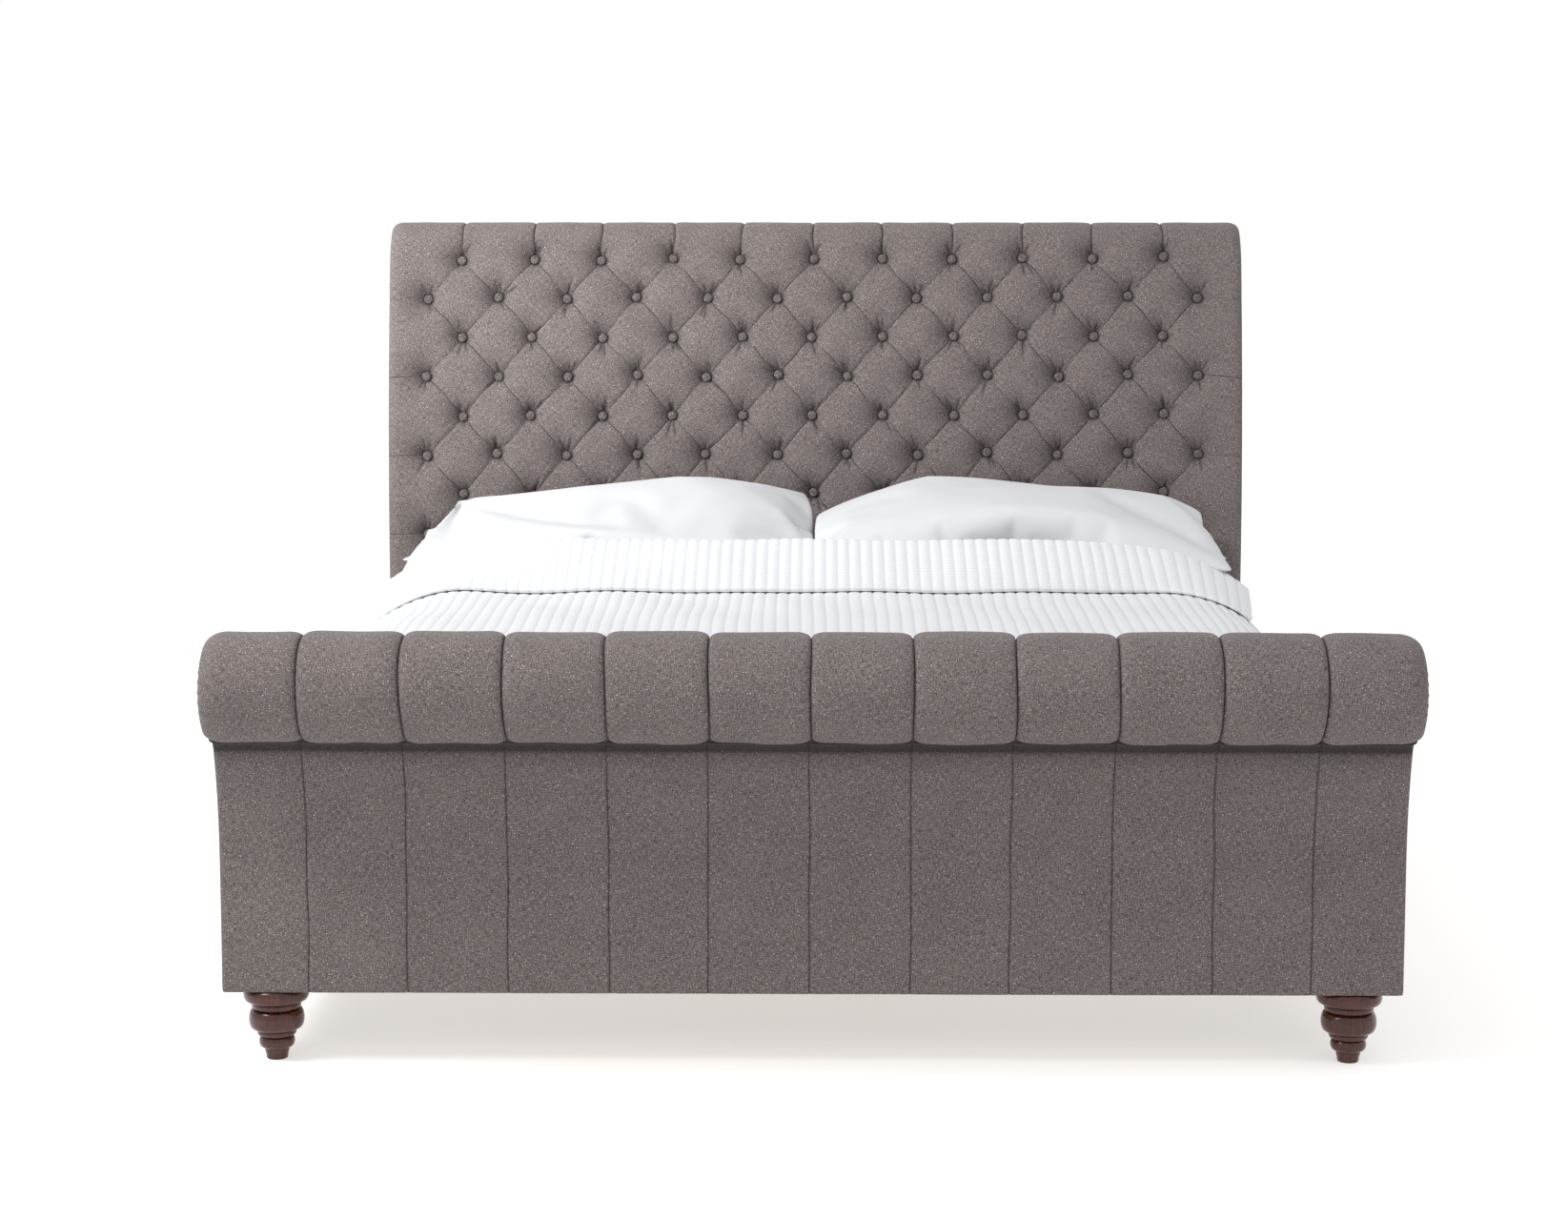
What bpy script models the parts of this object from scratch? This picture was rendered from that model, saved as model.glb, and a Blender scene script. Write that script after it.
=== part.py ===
"""King size upholstered sleigh bed: tufted headboard, rolled footboard, slatted base and bedding.

Metres, +Z up. The origin is on the floor under the middle of the bed. The headboard is towards +Y,
the footboard towards -Y, and left is -X.

Both ends of the bed are sleigh boards. A board is drawn in its own frame: local Y is the distance
outwards from its mattress-side face, local Z is the height. Each board hangs on an empty, and the
footboard's empty is turned half round, so one set of functions builds both.
"""
import math

import bmesh
import bpy
from mathutils import Vector

GAP = 0.0003                     # clearance between pieces that touch

# Overall sizes
WIDTH = 2.05
FOOT_HEIGHT = 0.13               # turned feet lift the boards this far off the floor
FOOT_X = 0.937                   # distance of the feet's axes from the middle
FACE_TO_FACE = 2.20              # footboard's outer panel to the headboard's front
MATTRESS = Vector((1.93, 2.03, 0.29))
SLAT_TOP = 0.345

# Upholstered end facings and the ribs behind them
FACING_THICKNESS = 0.012
RIB_THICKNESS = 0.030
INNER_HALF_WIDTH = WIDTH / 2 - FACING_THICKNESS - GAP      # half the width between the facings
RIB_INNER_X = INNER_HALF_WIDTH - RIB_THICKNESS

# Side rails
RAIL_OUTER_X = 1.020
RAIL_COVER = 0.012
RAIL_CORE = 0.025
RAIL_BOTTOM, RAIL_TOP = 0.153, 0.437
RAIL_INNER_X = RAIL_OUTER_X - RAIL_COVER - RAIL_CORE - GAP

# Slatted base
SLAT_COUNT = 10
SLAT_SIZE = (0.070, 0.018)       # width along the bed, thickness
LEDGER = (0.025, 0.038)          # width across the bed, height
BEAM = (0.060, 0.090)
LEG_SIDE = 0.045
LEVELLER_DISC = 0.012            # thickness of the leveller's disc, which stands on the floor
LEG_BOTTOM = 0.028

# Bedding
COVERLET_THICKNESS = 0.012
COVERLET_LENGTH = 1.455          # from the mattress's foot end to the back of the fold
COVERLET_TUCK = 0.055            # how far its sides reach down behind the side rails
FOLD_WIDTH, FOLD_HEIGHT = 0.27, 0.062
PILLOW_LENGTH = 0.90
LOWER_PILLOW = 0.100             # thickness
UPPER_PILLOW = 0.085
# The middle of each pillow, front to back: distance from the pillows' back line (negative is towards
# the foot end) and height above the mattress.
LYING_SPINE = ((-0.42, 0.052), (-0.25, 0.055), (0.0, 0.085))
LEANING_SPINE = ((-0.565, 0.062), (-0.34, 0.187), (-0.060, 0.174))
HEADBOARD_CLEARANCE = 0.012


class Board:
    """The outline of a sleigh board and the layers it is upholstered with."""

    def __init__(self, thickness, roll_y, roll_z, roll_radius, bend_radius, neck, fillet_radius,
                 front_depth, back_depth):
        self.thickness = thickness
        self.roll_centre = Vector((roll_y, roll_z))
        self.roll_radius = roll_radius
        self.front_depth = front_depth      # upholstery on the mattress side
        self.back_depth = back_depth        # upholstery on the outer side
        # The inner face is upright, then bends outwards on a large arc that runs into the roll.
        rise = math.sqrt((bend_radius - roll_radius) ** 2 - (bend_radius - roll_y) ** 2)
        self.bend_centre = Vector((bend_radius, roll_z - rise))
        self.bend_radius = bend_radius
        # The outer face is upright, then leans outwards on the neck arc up to a fillet under the roll.
        if neck is None:
            neck = (bend_radius - thickness, self.bend_centre.y)
        self.neck_radius = neck[0]
        self.neck_centre = Vector((thickness + neck[0], neck[1]))
        self.fillet_radius = fillet_radius
        self.fillet_centre = lower_crossing(self.neck_centre, self.neck_radius - fillet_radius,
                                            self.roll_centre, roll_radius + fillet_radius)

    def outline(self):
        """(part, point, outward normal) from the bottom of the inner face, over the roll, and down."""
        to_roll = angle(self.roll_centre - self.bend_centre)
        to_fillet = angle(self.fillet_centre - self.roll_centre)
        neck_end = angle(self.fillet_centre - self.neck_centre)
        samples = []
        for height in (FOOT_HEIGHT, self.bend_centre.y):
            samples.append(("inner", Vector((0, height)), Vector((-1, 0))))
        samples += arc("bend", self.bend_centre, self.bend_radius, math.pi, to_roll, 7, 1)
        samples += arc("roll", self.roll_centre, self.roll_radius, to_roll, to_fillet, 14, 1)
        seam = 1.2 * GAP / self.fillet_radius       # the panel stops just short of the roll
        samples += arc("fillet", self.fillet_centre, self.fillet_radius, to_fillet + math.pi + seam,
                       neck_end, 5, -1)
        samples += arc("neck", self.neck_centre, self.neck_radius, neck_end, math.pi, 6, -1)
        for height in (self.neck_centre.y, FOOT_HEIGHT):
            samples.append(("outer", Vector((self.thickness, height)), Vector((1, 0))))
        return samples


def angle(vector):
    """Direction of a vector, in 0 to 2 pi."""
    return math.atan2(vector.y, vector.x) % (2 * math.pi)


def arc(part, centre, radius, start, end, steps, side):
    """Samples of an arc; side is 1 where the solid lies inside the circle and -1 where outside."""
    samples = []
    sweep = (end - start + math.pi) % (2 * math.pi) - math.pi
    if part == "roll":
        sweep = -((start - end) % (2 * math.pi))
    for index in range(steps + 1):
        turn = start + sweep * index / steps
        direction = Vector((math.cos(turn), math.sin(turn)))
        samples.append((part, centre + direction * radius, direction * side))
    return samples


def lower_crossing(centre_a, radius_a, centre_b, radius_b):
    """The lower point at the given distances from two centres."""
    between = centre_b - centre_a
    distance = between.length
    along = (distance ** 2 + radius_a ** 2 - radius_b ** 2) / (2 * distance)
    across = math.sqrt(radius_a ** 2 - along ** 2)
    direction = between / distance
    sideways = Vector((-direction.y, direction.x))
    options = [centre_a + direction * along + sideways * across * sign for sign in (-1, 1)]
    return min(options, key=lambda point: point.y)


def layer_path(board, parts, front, back, lowest=None, highest=None):
    """The outline's named parts moved inwards: by front on the mattress side, by back on the outer
    side, and by a mix of both over the roll."""
    samples = board.outline()
    roll = [index for index, sample in enumerate(samples) if sample[0] == "roll"]
    path = []
    for index, (part, point, normal) in enumerate(samples):
        mix = min(max((index - roll[0]) / (roll[-1] - roll[0]), 0), 1)
        if part not in parts:
            continue
        moved = point - normal * (front + (back - front) * mix)
        if lowest is not None:
            moved.y = max(moved.y, lowest)
        if highest is not None:
            moved.y = min(moved.y, highest)
        if not path or (moved - path[-1]).length > 1e-5:
            path.append(moved)
    return path


BOARDS = {
    "headboard": Board(thickness=0.115, roll_y=0.165, roll_z=1.335, roll_radius=0.075,
                       bend_radius=3.04, neck=None, fillet_radius=0.04,
                       front_depth=0.040, back_depth=0.020),
    "footboard": Board(thickness=0.115, roll_y=0.190, roll_z=0.679, roll_radius=0.098,
                       bend_radius=0.27, neck=(0.6, 0.36), fillet_radius=0.03,
                       front_depth=0.028, back_depth=0.020),
}
BOARD_LIFT = FOOT_HEIGHT + GAP
PLYWOOD = 0.008
BOARD_RAIL_HEIGHT = 0.070
MID_RAIL_THICKNESS = 0.022
HEAD_MID_RAIL = (0.52, 0.60)     # height of its lower and upper edge
HEAD_TOP_RAIL = (Vector((-0.018, -0.050)), Vector((0.022, 0.015)))   # corners, from the roll's centre
FOOT_TOP_RAIL = (Vector((-0.020, -0.020)), Vector((0.025, 0.045)))
TUFTING_BOTTOM = 0.50            # the headboard is flat below this height
ROLL_PAD_BOTTOM = 0.46           # the roll's padding reaches this far down the footboard's inner side

OUTWARD = BOARDS["footboard"].roll_centre.x + BOARDS["footboard"].roll_radius
BACKWARD = BOARDS["headboard"].roll_centre.x + BOARDS["headboard"].roll_radius
BED_INSIDE = FACE_TO_FACE - BOARDS["footboard"].thickness
FOOT_FACE_Y = -(BED_INSIDE + OUTWARD + BACKWARD) / 2 + OUTWARD    # the footboard's inner face
HEAD_FACE_Y = FOOT_FACE_Y + BED_INSIDE                            # the headboard's front face
MATTRESS_Y = (FOOT_FACE_Y + HEAD_FACE_Y) / 2
MATTRESS_BOTTOM = SLAT_TOP + GAP
MATTRESS_TOP = MATTRESS_BOTTOM + MATTRESS.z


# Materials

PALETTE = {
    "linen": ((0.155, 0.130, 0.122), 0.92, 0.0),
    "timber": ((0.52, 0.38, 0.24), 0.65, 0.0),
    "plywood": ((0.60, 0.46, 0.30), 0.70, 0.0),
    "mahogany": ((0.060, 0.016, 0.010), 0.22, 0.0),
    "steel": ((0.09, 0.09, 0.10), 0.45, 0.9),
    "ticking": ((0.78, 0.78, 0.78), 0.85, 0.0),
    "quilting": ((0.82, 0.84, 0.87), 0.85, 0.0),
    "cotton": ((0.87, 0.88, 0.90), 0.80, 0.0),
}


def material(name, finish):
    colour, roughness, metallic = PALETTE[finish]
    made = bpy.data.materials.new(name)
    made.use_nodes = True
    made.diffuse_color = (*colour, 1)
    shader = made.node_tree.nodes["Principled BSDF"]
    shader.inputs["Base Color"].default_value = (*colour, 1)
    shader.inputs["Roughness"].default_value = roughness
    shader.inputs["Metallic"].default_value = metallic
    return made


# Modelling helpers

def add(name, bm, finish, location=(0, 0, 0), rotation=(0, 0, 0), parent=None, smooth=None):
    bmesh.ops.recalc_face_normals(bm, faces=bm.faces)
    if bm.calc_volume(signed=True) < 0:
        bmesh.ops.reverse_faces(bm, faces=bm.faces)
    mesh = bpy.data.meshes.new(name)
    bm.to_mesh(mesh)
    bm.free()
    if smooth is not None:
        mesh.shade_smooth()
        mesh.set_sharp_from_angle(angle=math.radians(smooth))
    thing = bpy.data.objects.new(name, mesh)
    bpy.context.scene.collection.objects.link(thing)
    thing.data.materials.append(material(name, finish))
    thing.location = location
    thing.rotation_euler = rotation
    thing.parent = parent
    return thing


def box(name, size, centre, finish, bevel=0.0, parent=None):
    bm = bmesh.new()
    bmesh.ops.create_cube(bm, size=1)
    bmesh.ops.scale(bm, vec=size, verts=bm.verts)
    thing = add(name, bm, finish, centre, parent=parent)
    if bevel:
        soften = thing.modifiers.new("soften", "BEVEL")
        soften.width = bevel
        soften.segments = 1
    return thing


def span(name, low, high, finish, bevel=0.0, parent=None):
    """A box between two corners."""
    low, high = Vector(low), Vector(high)
    return box(name, high - low, (low + high) / 2, finish, bevel, parent)


def loft(name, sections, finish, parent=None, smooth=40, location=(0, 0, 0)):
    """A closed solid through matching rings of points, capped at both ends."""
    bm = bmesh.new()
    rings = [[bm.verts.new(point) for point in ring] for ring in sections]
    for ring, following in zip(rings, rings[1:]):
        for index in range(len(ring)):
            after = (index + 1) % len(ring)
            bm.faces.new((ring[index], ring[after], following[after], following[index]))
    bm.faces.new(rings[0])
    bm.faces.new(rings[-1])
    return add(name, bm, finish, location, parent=parent, smooth=smooth)


def prism(name, outline, x_low, x_high, finish, parent=None):
    """A board cut to an outline in Y and Z, between two X values."""
    sections = [[(x, point[0], point[1]) for point in outline] for x in (x_low, x_high)]
    return loft(name, sections, finish, parent)


def cut(thing, low, high):
    """A notch cut out of a thing by a box between two corners, given in the thing's own frame."""
    cutter = span(thing.name + "_cutter", low, high, "steel", parent=thing.parent)
    cutter.hide_render = True
    cutter.display_type = "WIRE"
    notch = thing.modifiers.new("notch", "BOOLEAN")
    notch.operation = "DIFFERENCE"
    notch.object = cutter


def turned(name, profile, steps, finish, location, parent=None):
    """A solid of revolution about Z; the profile runs from the top of the axis to its bottom."""
    bm = bmesh.new()
    rings = []
    for radius, height in profile:
        if radius == 0:
            rings.append([bm.verts.new((0, 0, height))])
            continue
        turns = [2 * math.pi * step / steps for step in range(steps)]
        rings.append([bm.verts.new((radius * math.cos(t), radius * math.sin(t), height))
                      for t in turns])
    for ring, following in zip(rings, rings[1:]):
        for step in range(steps):
            after = (step + 1) % steps
            corners = [ring[step % len(ring)], ring[after % len(ring)],
                       following[after % len(following)], following[step % len(following)]]
            bm.faces.new(list(dict.fromkeys(corners)))
    return add(name, bm, finish, location, parent=parent, smooth=35)


def side_name(board, local_x):
    """Left or right as seen from the foot of the bed; the footboard's own X runs the other way."""
    world_x = -local_x if board == "footboard" else local_x
    return "left" if world_x < 0 else "right"


# Sleigh boards

def board_empties():
    empties = {}
    for board, face_y, turn in (("headboard", HEAD_FACE_Y, 0), ("footboard", FOOT_FACE_Y, math.pi)):
        empty = bpy.data.objects.new(board + "_assembly", None)
        bpy.context.scene.collection.objects.link(empty)
        empty.location = (0, face_y, 0)
        empty.rotation_euler = (0, 0, turn)
        empties[board] = empty
    return empties


def layer(name, board, parts, front, back, parent, thickness=None, lowest=None, highest=None,
          finish="linen", half_width=INNER_HALF_WIDTH, rounding=0.0):
    """A padded or bent layer that follows part of a board's outline.

    front and back are the depths of its inner surface; thickness, if given, is how thick it is,
    otherwise it reaches the outline itself. Its ends are rounded over by rounding."""
    shape = BOARDS[board]
    inner = layer_path(shape, parts, front, back, lowest, highest)
    sections = []
    steps = (0.0, 0.3, 1.0) if rounding else (0.0,)
    for step in steps:
        drop = rounding * (1 - math.sqrt(1 - (1 - step) ** 2))
        x = half_width - rounding * step
        surface = (drop, drop) if thickness is None else (front - thickness, back - thickness)
        outer = layer_path(shape, parts, *surface, lowest, highest)
        sections.append((x, outer + inner[::-1]))
    mirrored = [(-x, ring) for x, ring in sections]
    rings = [[(x, p.x, p.y) for p in ring] for x, ring in mirrored + sections[::-1]]
    return loft(name, rings, finish, parent)


def ribs(board, parent):
    """Two end ribs and a centre rib, cut to the outline less the upholstery."""
    shape = BOARDS[board]
    front = shape.front_depth + (PLYWOOD + 2 * GAP if board == "headboard" else GAP)
    back = shape.back_depth + GAP
    everything = ("inner", "bend", "roll", "fillet", "neck", "outer")
    for local_x in (-1, 1):
        outline = layer_path(shape, everything, front, back, lowest=BOARD_LIFT)
        ends = sorted((local_x * RIB_INNER_X, local_x * (INNER_HALF_WIDTH)))
        prism(f"{board}_rib_{side_name(board, local_x)}", outline, *ends, "timber", parent)
    above_rail = BOARD_LIFT + BOARD_RAIL_HEIGHT + GAP
    outline = layer_path(shape, everything, front, back, lowest=above_rail)
    centre = prism(f"{board}_rib_centre", outline, -RIB_THICKNESS / 2, RIB_THICKNESS / 2,
                   "timber", parent)
    return centre, front, back


def board_rail(name, low, high, parent, centre_rib=None, opening=(0, 0, 0)):
    """A rail between the end ribs. Where it crosses the centre rib, the rib has a notch that is
    open along the opening direction."""
    reach = RIB_INNER_X - GAP
    span(name, (-reach, *low), (reach, *high), "timber", 0.002, parent)
    if centre_rib is None:
        return
    notch_low = Vector((-RIB_THICKNESS, low[0] - GAP, low[1] - GAP))
    notch_high = Vector((RIB_THICKNESS, high[0] + GAP, high[1] + GAP))
    for index, direction in enumerate(opening):
        notch_high[index] += max(direction, 0)
        notch_low[index] += min(direction, 0)
    cut(centre_rib, notch_low, notch_high)


def facings(board, parent):
    """The padded end pieces that close both ends of a board."""
    shape = BOARDS[board]
    everything = ("inner", "bend", "roll", "fillet", "neck", "outer")
    edge = 0.006
    outline = layer_path(shape, everything, edge, edge, lowest=FOOT_HEIGHT)
    for local_x in (-1, 1):
        ends = sorted((local_x * (INNER_HALF_WIDTH + GAP), local_x * WIDTH / 2))
        prism(f"{board}_facing_{side_name(board, local_x)}", outline, *ends, "linen", parent)


def headboard(parent):
    shape = BOARDS["headboard"]
    centre_rib, front, back = ribs("headboard", parent)
    rail_back = shape.thickness - back
    board_rail("headboard_bottom_rail", (front, BOARD_LIFT),
               (rail_back, BOARD_LIFT + BOARD_RAIL_HEIGHT), parent)
    board_rail("headboard_mid_rail", (front, HEAD_MID_RAIL[0]),
               (front + MID_RAIL_THICKNESS, HEAD_MID_RAIL[1]), parent, centre_rib, (0, -0.1, 0))
    roll = shape.roll_centre
    board_rail("headboard_top_rail", roll + HEAD_TOP_RAIL[0], roll + HEAD_TOP_RAIL[1], parent,
               centre_rib, (0, 0, 0.2))
    layer("headboard_board", "headboard", ("inner", "bend"), front - GAP, front - GAP, parent,
          thickness=PLYWOOD, lowest=BOARD_LIFT, finish="plywood")
    depth = shape.front_depth
    layer("headboard_tufted_pad", "headboard", ("inner", "bend", "roll"), depth, shape.back_depth,
          parent, lowest=TUFTING_BOTTOM, rounding=0.012)
    layer("headboard_lower_panel", "headboard", ("inner",), depth, depth, parent,
          highest=TUFTING_BOTTOM - GAP)
    back_panel("headboard", parent)
    facings("headboard", parent)


def back_panel(board, parent, name="back_panel"):
    """The flat panel on a board's outer side, from just under the roll to the bottom."""
    depth = BOARDS[board].back_depth
    layer(f"{board}_{name}", board, ("fillet", "neck", "outer"), depth, depth, parent)


def footboard(parent):
    shape = BOARDS["footboard"]
    centre_rib, front, back = ribs("footboard", parent)
    board_rail("footboard_bottom_rail", (front, BOARD_LIFT),
               (shape.thickness - back, BOARD_LIFT + BOARD_RAIL_HEIGHT), parent)
    roll = shape.roll_centre
    board_rail("footboard_top_rail", roll + FOOT_TOP_RAIL[0], roll + FOOT_TOP_RAIL[1], parent,
               centre_rib, (0, 0, 0.2))
    layer("footboard_roll_pad", "footboard", ("inner", "bend", "roll"), shape.front_depth,
          shape.back_depth, parent, lowest=ROLL_PAD_BOTTOM, rounding=0.016)
    layer("footboard_inner_panel", "footboard", ("inner",), shape.front_depth, shape.front_depth,
          parent, highest=ROLL_PAD_BOTTOM - GAP)
    back_panel("footboard", parent, "front_panel")
    facings("footboard", parent)


# Rails, slats and feet

def side_rails():
    low_y, high_y = FOOT_FACE_Y + GAP, HEAD_FACE_Y - GAP
    for side, name in ((-1, "left"), (1, "right")):
        core = sorted((side * RAIL_INNER_X, side * (RAIL_INNER_X + RAIL_CORE)))
        span(f"side_rail_{name}", (core[0], low_y, RAIL_BOTTOM + RAIL_COVER),
             (core[1], high_y, RAIL_TOP - RAIL_COVER), "timber", 0.002)
        rail_cover(f"side_rail_cover_{name}", side, low_y, high_y)
        ledger_x = sorted((side * (RAIL_INNER_X - GAP), side * (RAIL_INNER_X - GAP - LEDGER[0])))
        ledger_top = SLAT_TOP - SLAT_SIZE[1] - GAP
        span(f"ledger_{name}", (ledger_x[0], low_y + 0.02, ledger_top - LEDGER[1]),
             (ledger_x[1], high_y - 0.02, ledger_top), "timber", 0.002)


def rail_cover(name, side, low_y, high_y):
    """A padded channel that wraps the outside, top and bottom of a rail's core."""
    corner = 0.010
    half = (RAIL_TOP - RAIL_BOTTOM) / 2
    inner_half = half - RAIL_COVER + GAP
    depth = RAIL_COVER + RAIL_CORE + GAP
    profile = [(depth, half), (corner, half)]
    for step in (1, 2):
        turn = math.pi / 2 * step / 3
        profile.append((corner - corner * math.sin(turn), half - corner + corner * math.cos(turn)))
    profile.append((0, half - corner))
    profile += [(y, -z) for y, z in profile[::-1]]
    profile += [(depth, -inner_half), (RAIL_COVER, -inner_half)]
    profile += [(RAIL_COVER, inner_half), (depth, inner_half)]
    middle = (RAIL_TOP + RAIL_BOTTOM) / 2
    rings = [[(side * (RAIL_OUTER_X - x), y, middle + z) for x, z in profile]
             for y in (low_y, high_y)]
    loft(name, rings, "linen")


def slats():
    """Ten slats at an even pitch, lying on the ledgers and the beam."""
    first = FOOT_FACE_Y + 0.09
    pitch = (HEAD_FACE_Y - 0.09 - first) / (SLAT_COUNT - 1)
    length = 2 * (RAIL_INNER_X - 0.003)
    for index in range(SLAT_COUNT):
        centre = (0, first + pitch * index, SLAT_TOP - SLAT_SIZE[1] / 2)
        box(f"slat_{index + 1:02d}", (length, *SLAT_SIZE), centre, "timber", 0.002)


def centre_support():
    """A beam along the middle, hung between the boards and held up by two legs."""
    top = SLAT_TOP - SLAT_SIZE[1] - GAP
    plate = 0.003
    low_y, high_y = FOOT_FACE_Y + plate + 2 * GAP, HEAD_FACE_Y - plate - 2 * GAP
    span("centre_beam", (-BEAM[0] / 2, low_y, top - BEAM[1]), (BEAM[0] / 2, high_y, top),
         "timber", 0.003)
    for name, face_y, inwards in (("foot", FOOT_FACE_Y, 1), ("head", HEAD_FACE_Y, -1)):
        beam_hanger(f"beam_hanger_{name}", face_y + inwards * GAP, inwards, top - BEAM[1], plate)
    for name, part in (("front", 1 / 3), ("back", 2 / 3)):
        leg_y = FOOT_FACE_Y + BED_INSIDE * part
        centre_leg(name, leg_y, top - BEAM[1] - GAP)


def beam_hanger(name, face_y, inwards, beam_bottom, plate):
    """A bent steel stirrup: a back plate, two cheeks beside the beam and a floor under it."""
    gap = BEAM[0] / 2 + GAP
    ear, reach = 0.030, 0.045
    low = beam_bottom - GAP - plate
    high = low + BEAM[1] * 0.8
    plan = [(gap + ear, 0), (gap + ear, plate), (gap + plate, plate), (gap + plate, reach),
            (gap, reach), (gap, plate)]
    plan += [(-x, y) for x, y in plan[::-1]]
    rings = [[(x, face_y + inwards * y, z) for x, y in plan] for z in (low, high)]
    stirrup = loft(name, rings, "steel")
    ends = sorted((face_y + inwards * plate / 2, face_y + inwards * reach))
    floor = span(name + "_floor", (-gap - plate / 2, ends[0], low),
                 (gap + plate / 2, ends[1], low + plate), "steel")
    floor.hide_render = True
    floor.display_type = "WIRE"
    weld = stirrup.modifiers.new("weld", "BOOLEAN")
    weld.operation = "UNION"
    weld.object = floor


def centre_leg(name, y, top):
    """A square leg with a blind bore for the stem of its screw leveller."""
    leg = span(f"centre_leg_{name}", (-LEG_SIDE / 2, y - LEG_SIDE / 2, LEG_BOTTOM),
               (LEG_SIDE / 2, y + LEG_SIDE / 2, top), "timber", 0.003)
    stem, clearance, stem_top = 0.005, 0.0006, 0.050
    bm = bmesh.new()
    bmesh.ops.create_cone(bm, cap_ends=True, segments=12, radius1=stem + clearance,
                          radius2=stem + clearance, depth=0.09)
    cutter = add(f"centre_leg_{name}_bore", bm, "steel", (0, y, LEG_BOTTOM))
    cutter.hide_render = True
    cutter.display_type = "WIRE"
    bore = leg.modifiers.new("bore", "BOOLEAN")
    bore.object = cutter
    disc = 0.018
    turned(f"leveller_{name}", [(0, stem_top), (stem, stem_top), (stem, LEVELLER_DISC),
                                (disc - 0.003, LEVELLER_DISC), (disc, LEVELLER_DISC - 0.003),
                                (disc, 0.002), (disc - 0.002, 0), (0, 0)], 12, "steel", (0, y, 0))


def rail_brackets():
    """Steel angles in the four corners, under the ledgers."""
    plate, along, across = 0.003, 0.070, 0.070
    low, high = 0.185, 0.280
    for end, face_y, inwards in (("foot", FOOT_FACE_Y, 1), ("head", HEAD_FACE_Y, -1)):
        for side, name in ((-1, "left"), (1, "right")):
            corner = (RAIL_INNER_X - GAP, GAP)
            outline = [(corner[0], corner[1]), (corner[0], corner[1] + along),
                       (corner[0] - plate, corner[1] + along),
                       (corner[0] - plate, corner[1] + plate),
                       (corner[0] - across, corner[1] + plate), (corner[0] - across, corner[1])]
            rings = [[(side * x, face_y + inwards * y, z) for x, y in outline]
                     for z in (low, high)]
            loft(f"rail_bracket_{end}_{name}", rings, "steel")


def half_round(radius, height, steps, middle_radius):
    """Points down a turned bead, from its upper to its lower quirk."""
    points = []
    for step in range(steps + 1):
        turn = math.pi * step / steps
        points.append((middle_radius + radius * math.sin(turn), height * (1 + math.cos(turn)) / 2))
    return points


def feet():
    """Turned feet: a stack of beads that gets smaller towards a plain base."""
    beads = ((0.046, 0.011, 0.026), (0.040, 0.004, 0.014), (0.038, 0.011, 0.036),
             (0.031, 0.004, 0.012), (0.027, 0.004, 0.022))      # middle radius, bulge, height
    base_top, base_radius = 0.020, 0.0190
    total = sum(bead[2] for bead in beads) + base_top
    scale = (FOOT_HEIGHT - GAP) / total
    profile = [(0, FOOT_HEIGHT - GAP)]
    height = FOOT_HEIGHT - GAP
    for middle, bulge, tall in beads:
        height -= tall * scale
        profile += [(radius, height + z) for radius, z in half_round(bulge, tall * scale, 4, middle)]
    profile += [(base_radius + 0.002, base_top * scale * 0.9), (base_radius, 0), (0, 0)]
    for end, face_y, outwards in (("front", FOOT_FACE_Y, -1), ("back", HEAD_FACE_Y, 1)):
        board = BOARDS["footboard" if end == "front" else "headboard"]
        for side, name in ((-1, "left"), (1, "right")):
            place = (side * FOOT_X, face_y + outwards * board.thickness / 2, 0)
            turned(f"foot_{end}_{name}", profile, 16, "mahogany", place)


# Bedding

def rounded_rectangle(half_x, half_y, radius, steps=4):
    points = []
    for quarter in range(4):
        centre = (math.copysign(half_x - radius, (1, -1, -1, 1)[quarter]),
                  math.copysign(half_y - radius, (1, 1, -1, -1)[quarter]))
        for step in range(steps + 1):
            turn = math.pi / 2 * (quarter + step / steps)
            points.append((centre[0] + radius * math.cos(turn),
                           centre[1] + radius * math.sin(turn)))
    return points


def mattress():
    """A block with rounded corners and soft top and bottom edges."""
    rings = []
    soft = 0.022
    for inset, z in ((soft, 0), (soft * 0.3, soft * 0.3), (0, soft), (0, MATTRESS.z - soft),
                     (soft * 0.3, MATTRESS.z - soft * 0.3), (soft, MATTRESS.z)):
        ring = rounded_rectangle(MATTRESS.x / 2 - inset, MATTRESS.y / 2 - inset, 0.07 - inset)
        rings.append([(x, y, z) for x, y in ring])
    loft("mattress", rings, "ticking", location=(0, MATTRESS_Y, MATTRESS_BOTTOM))


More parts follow.
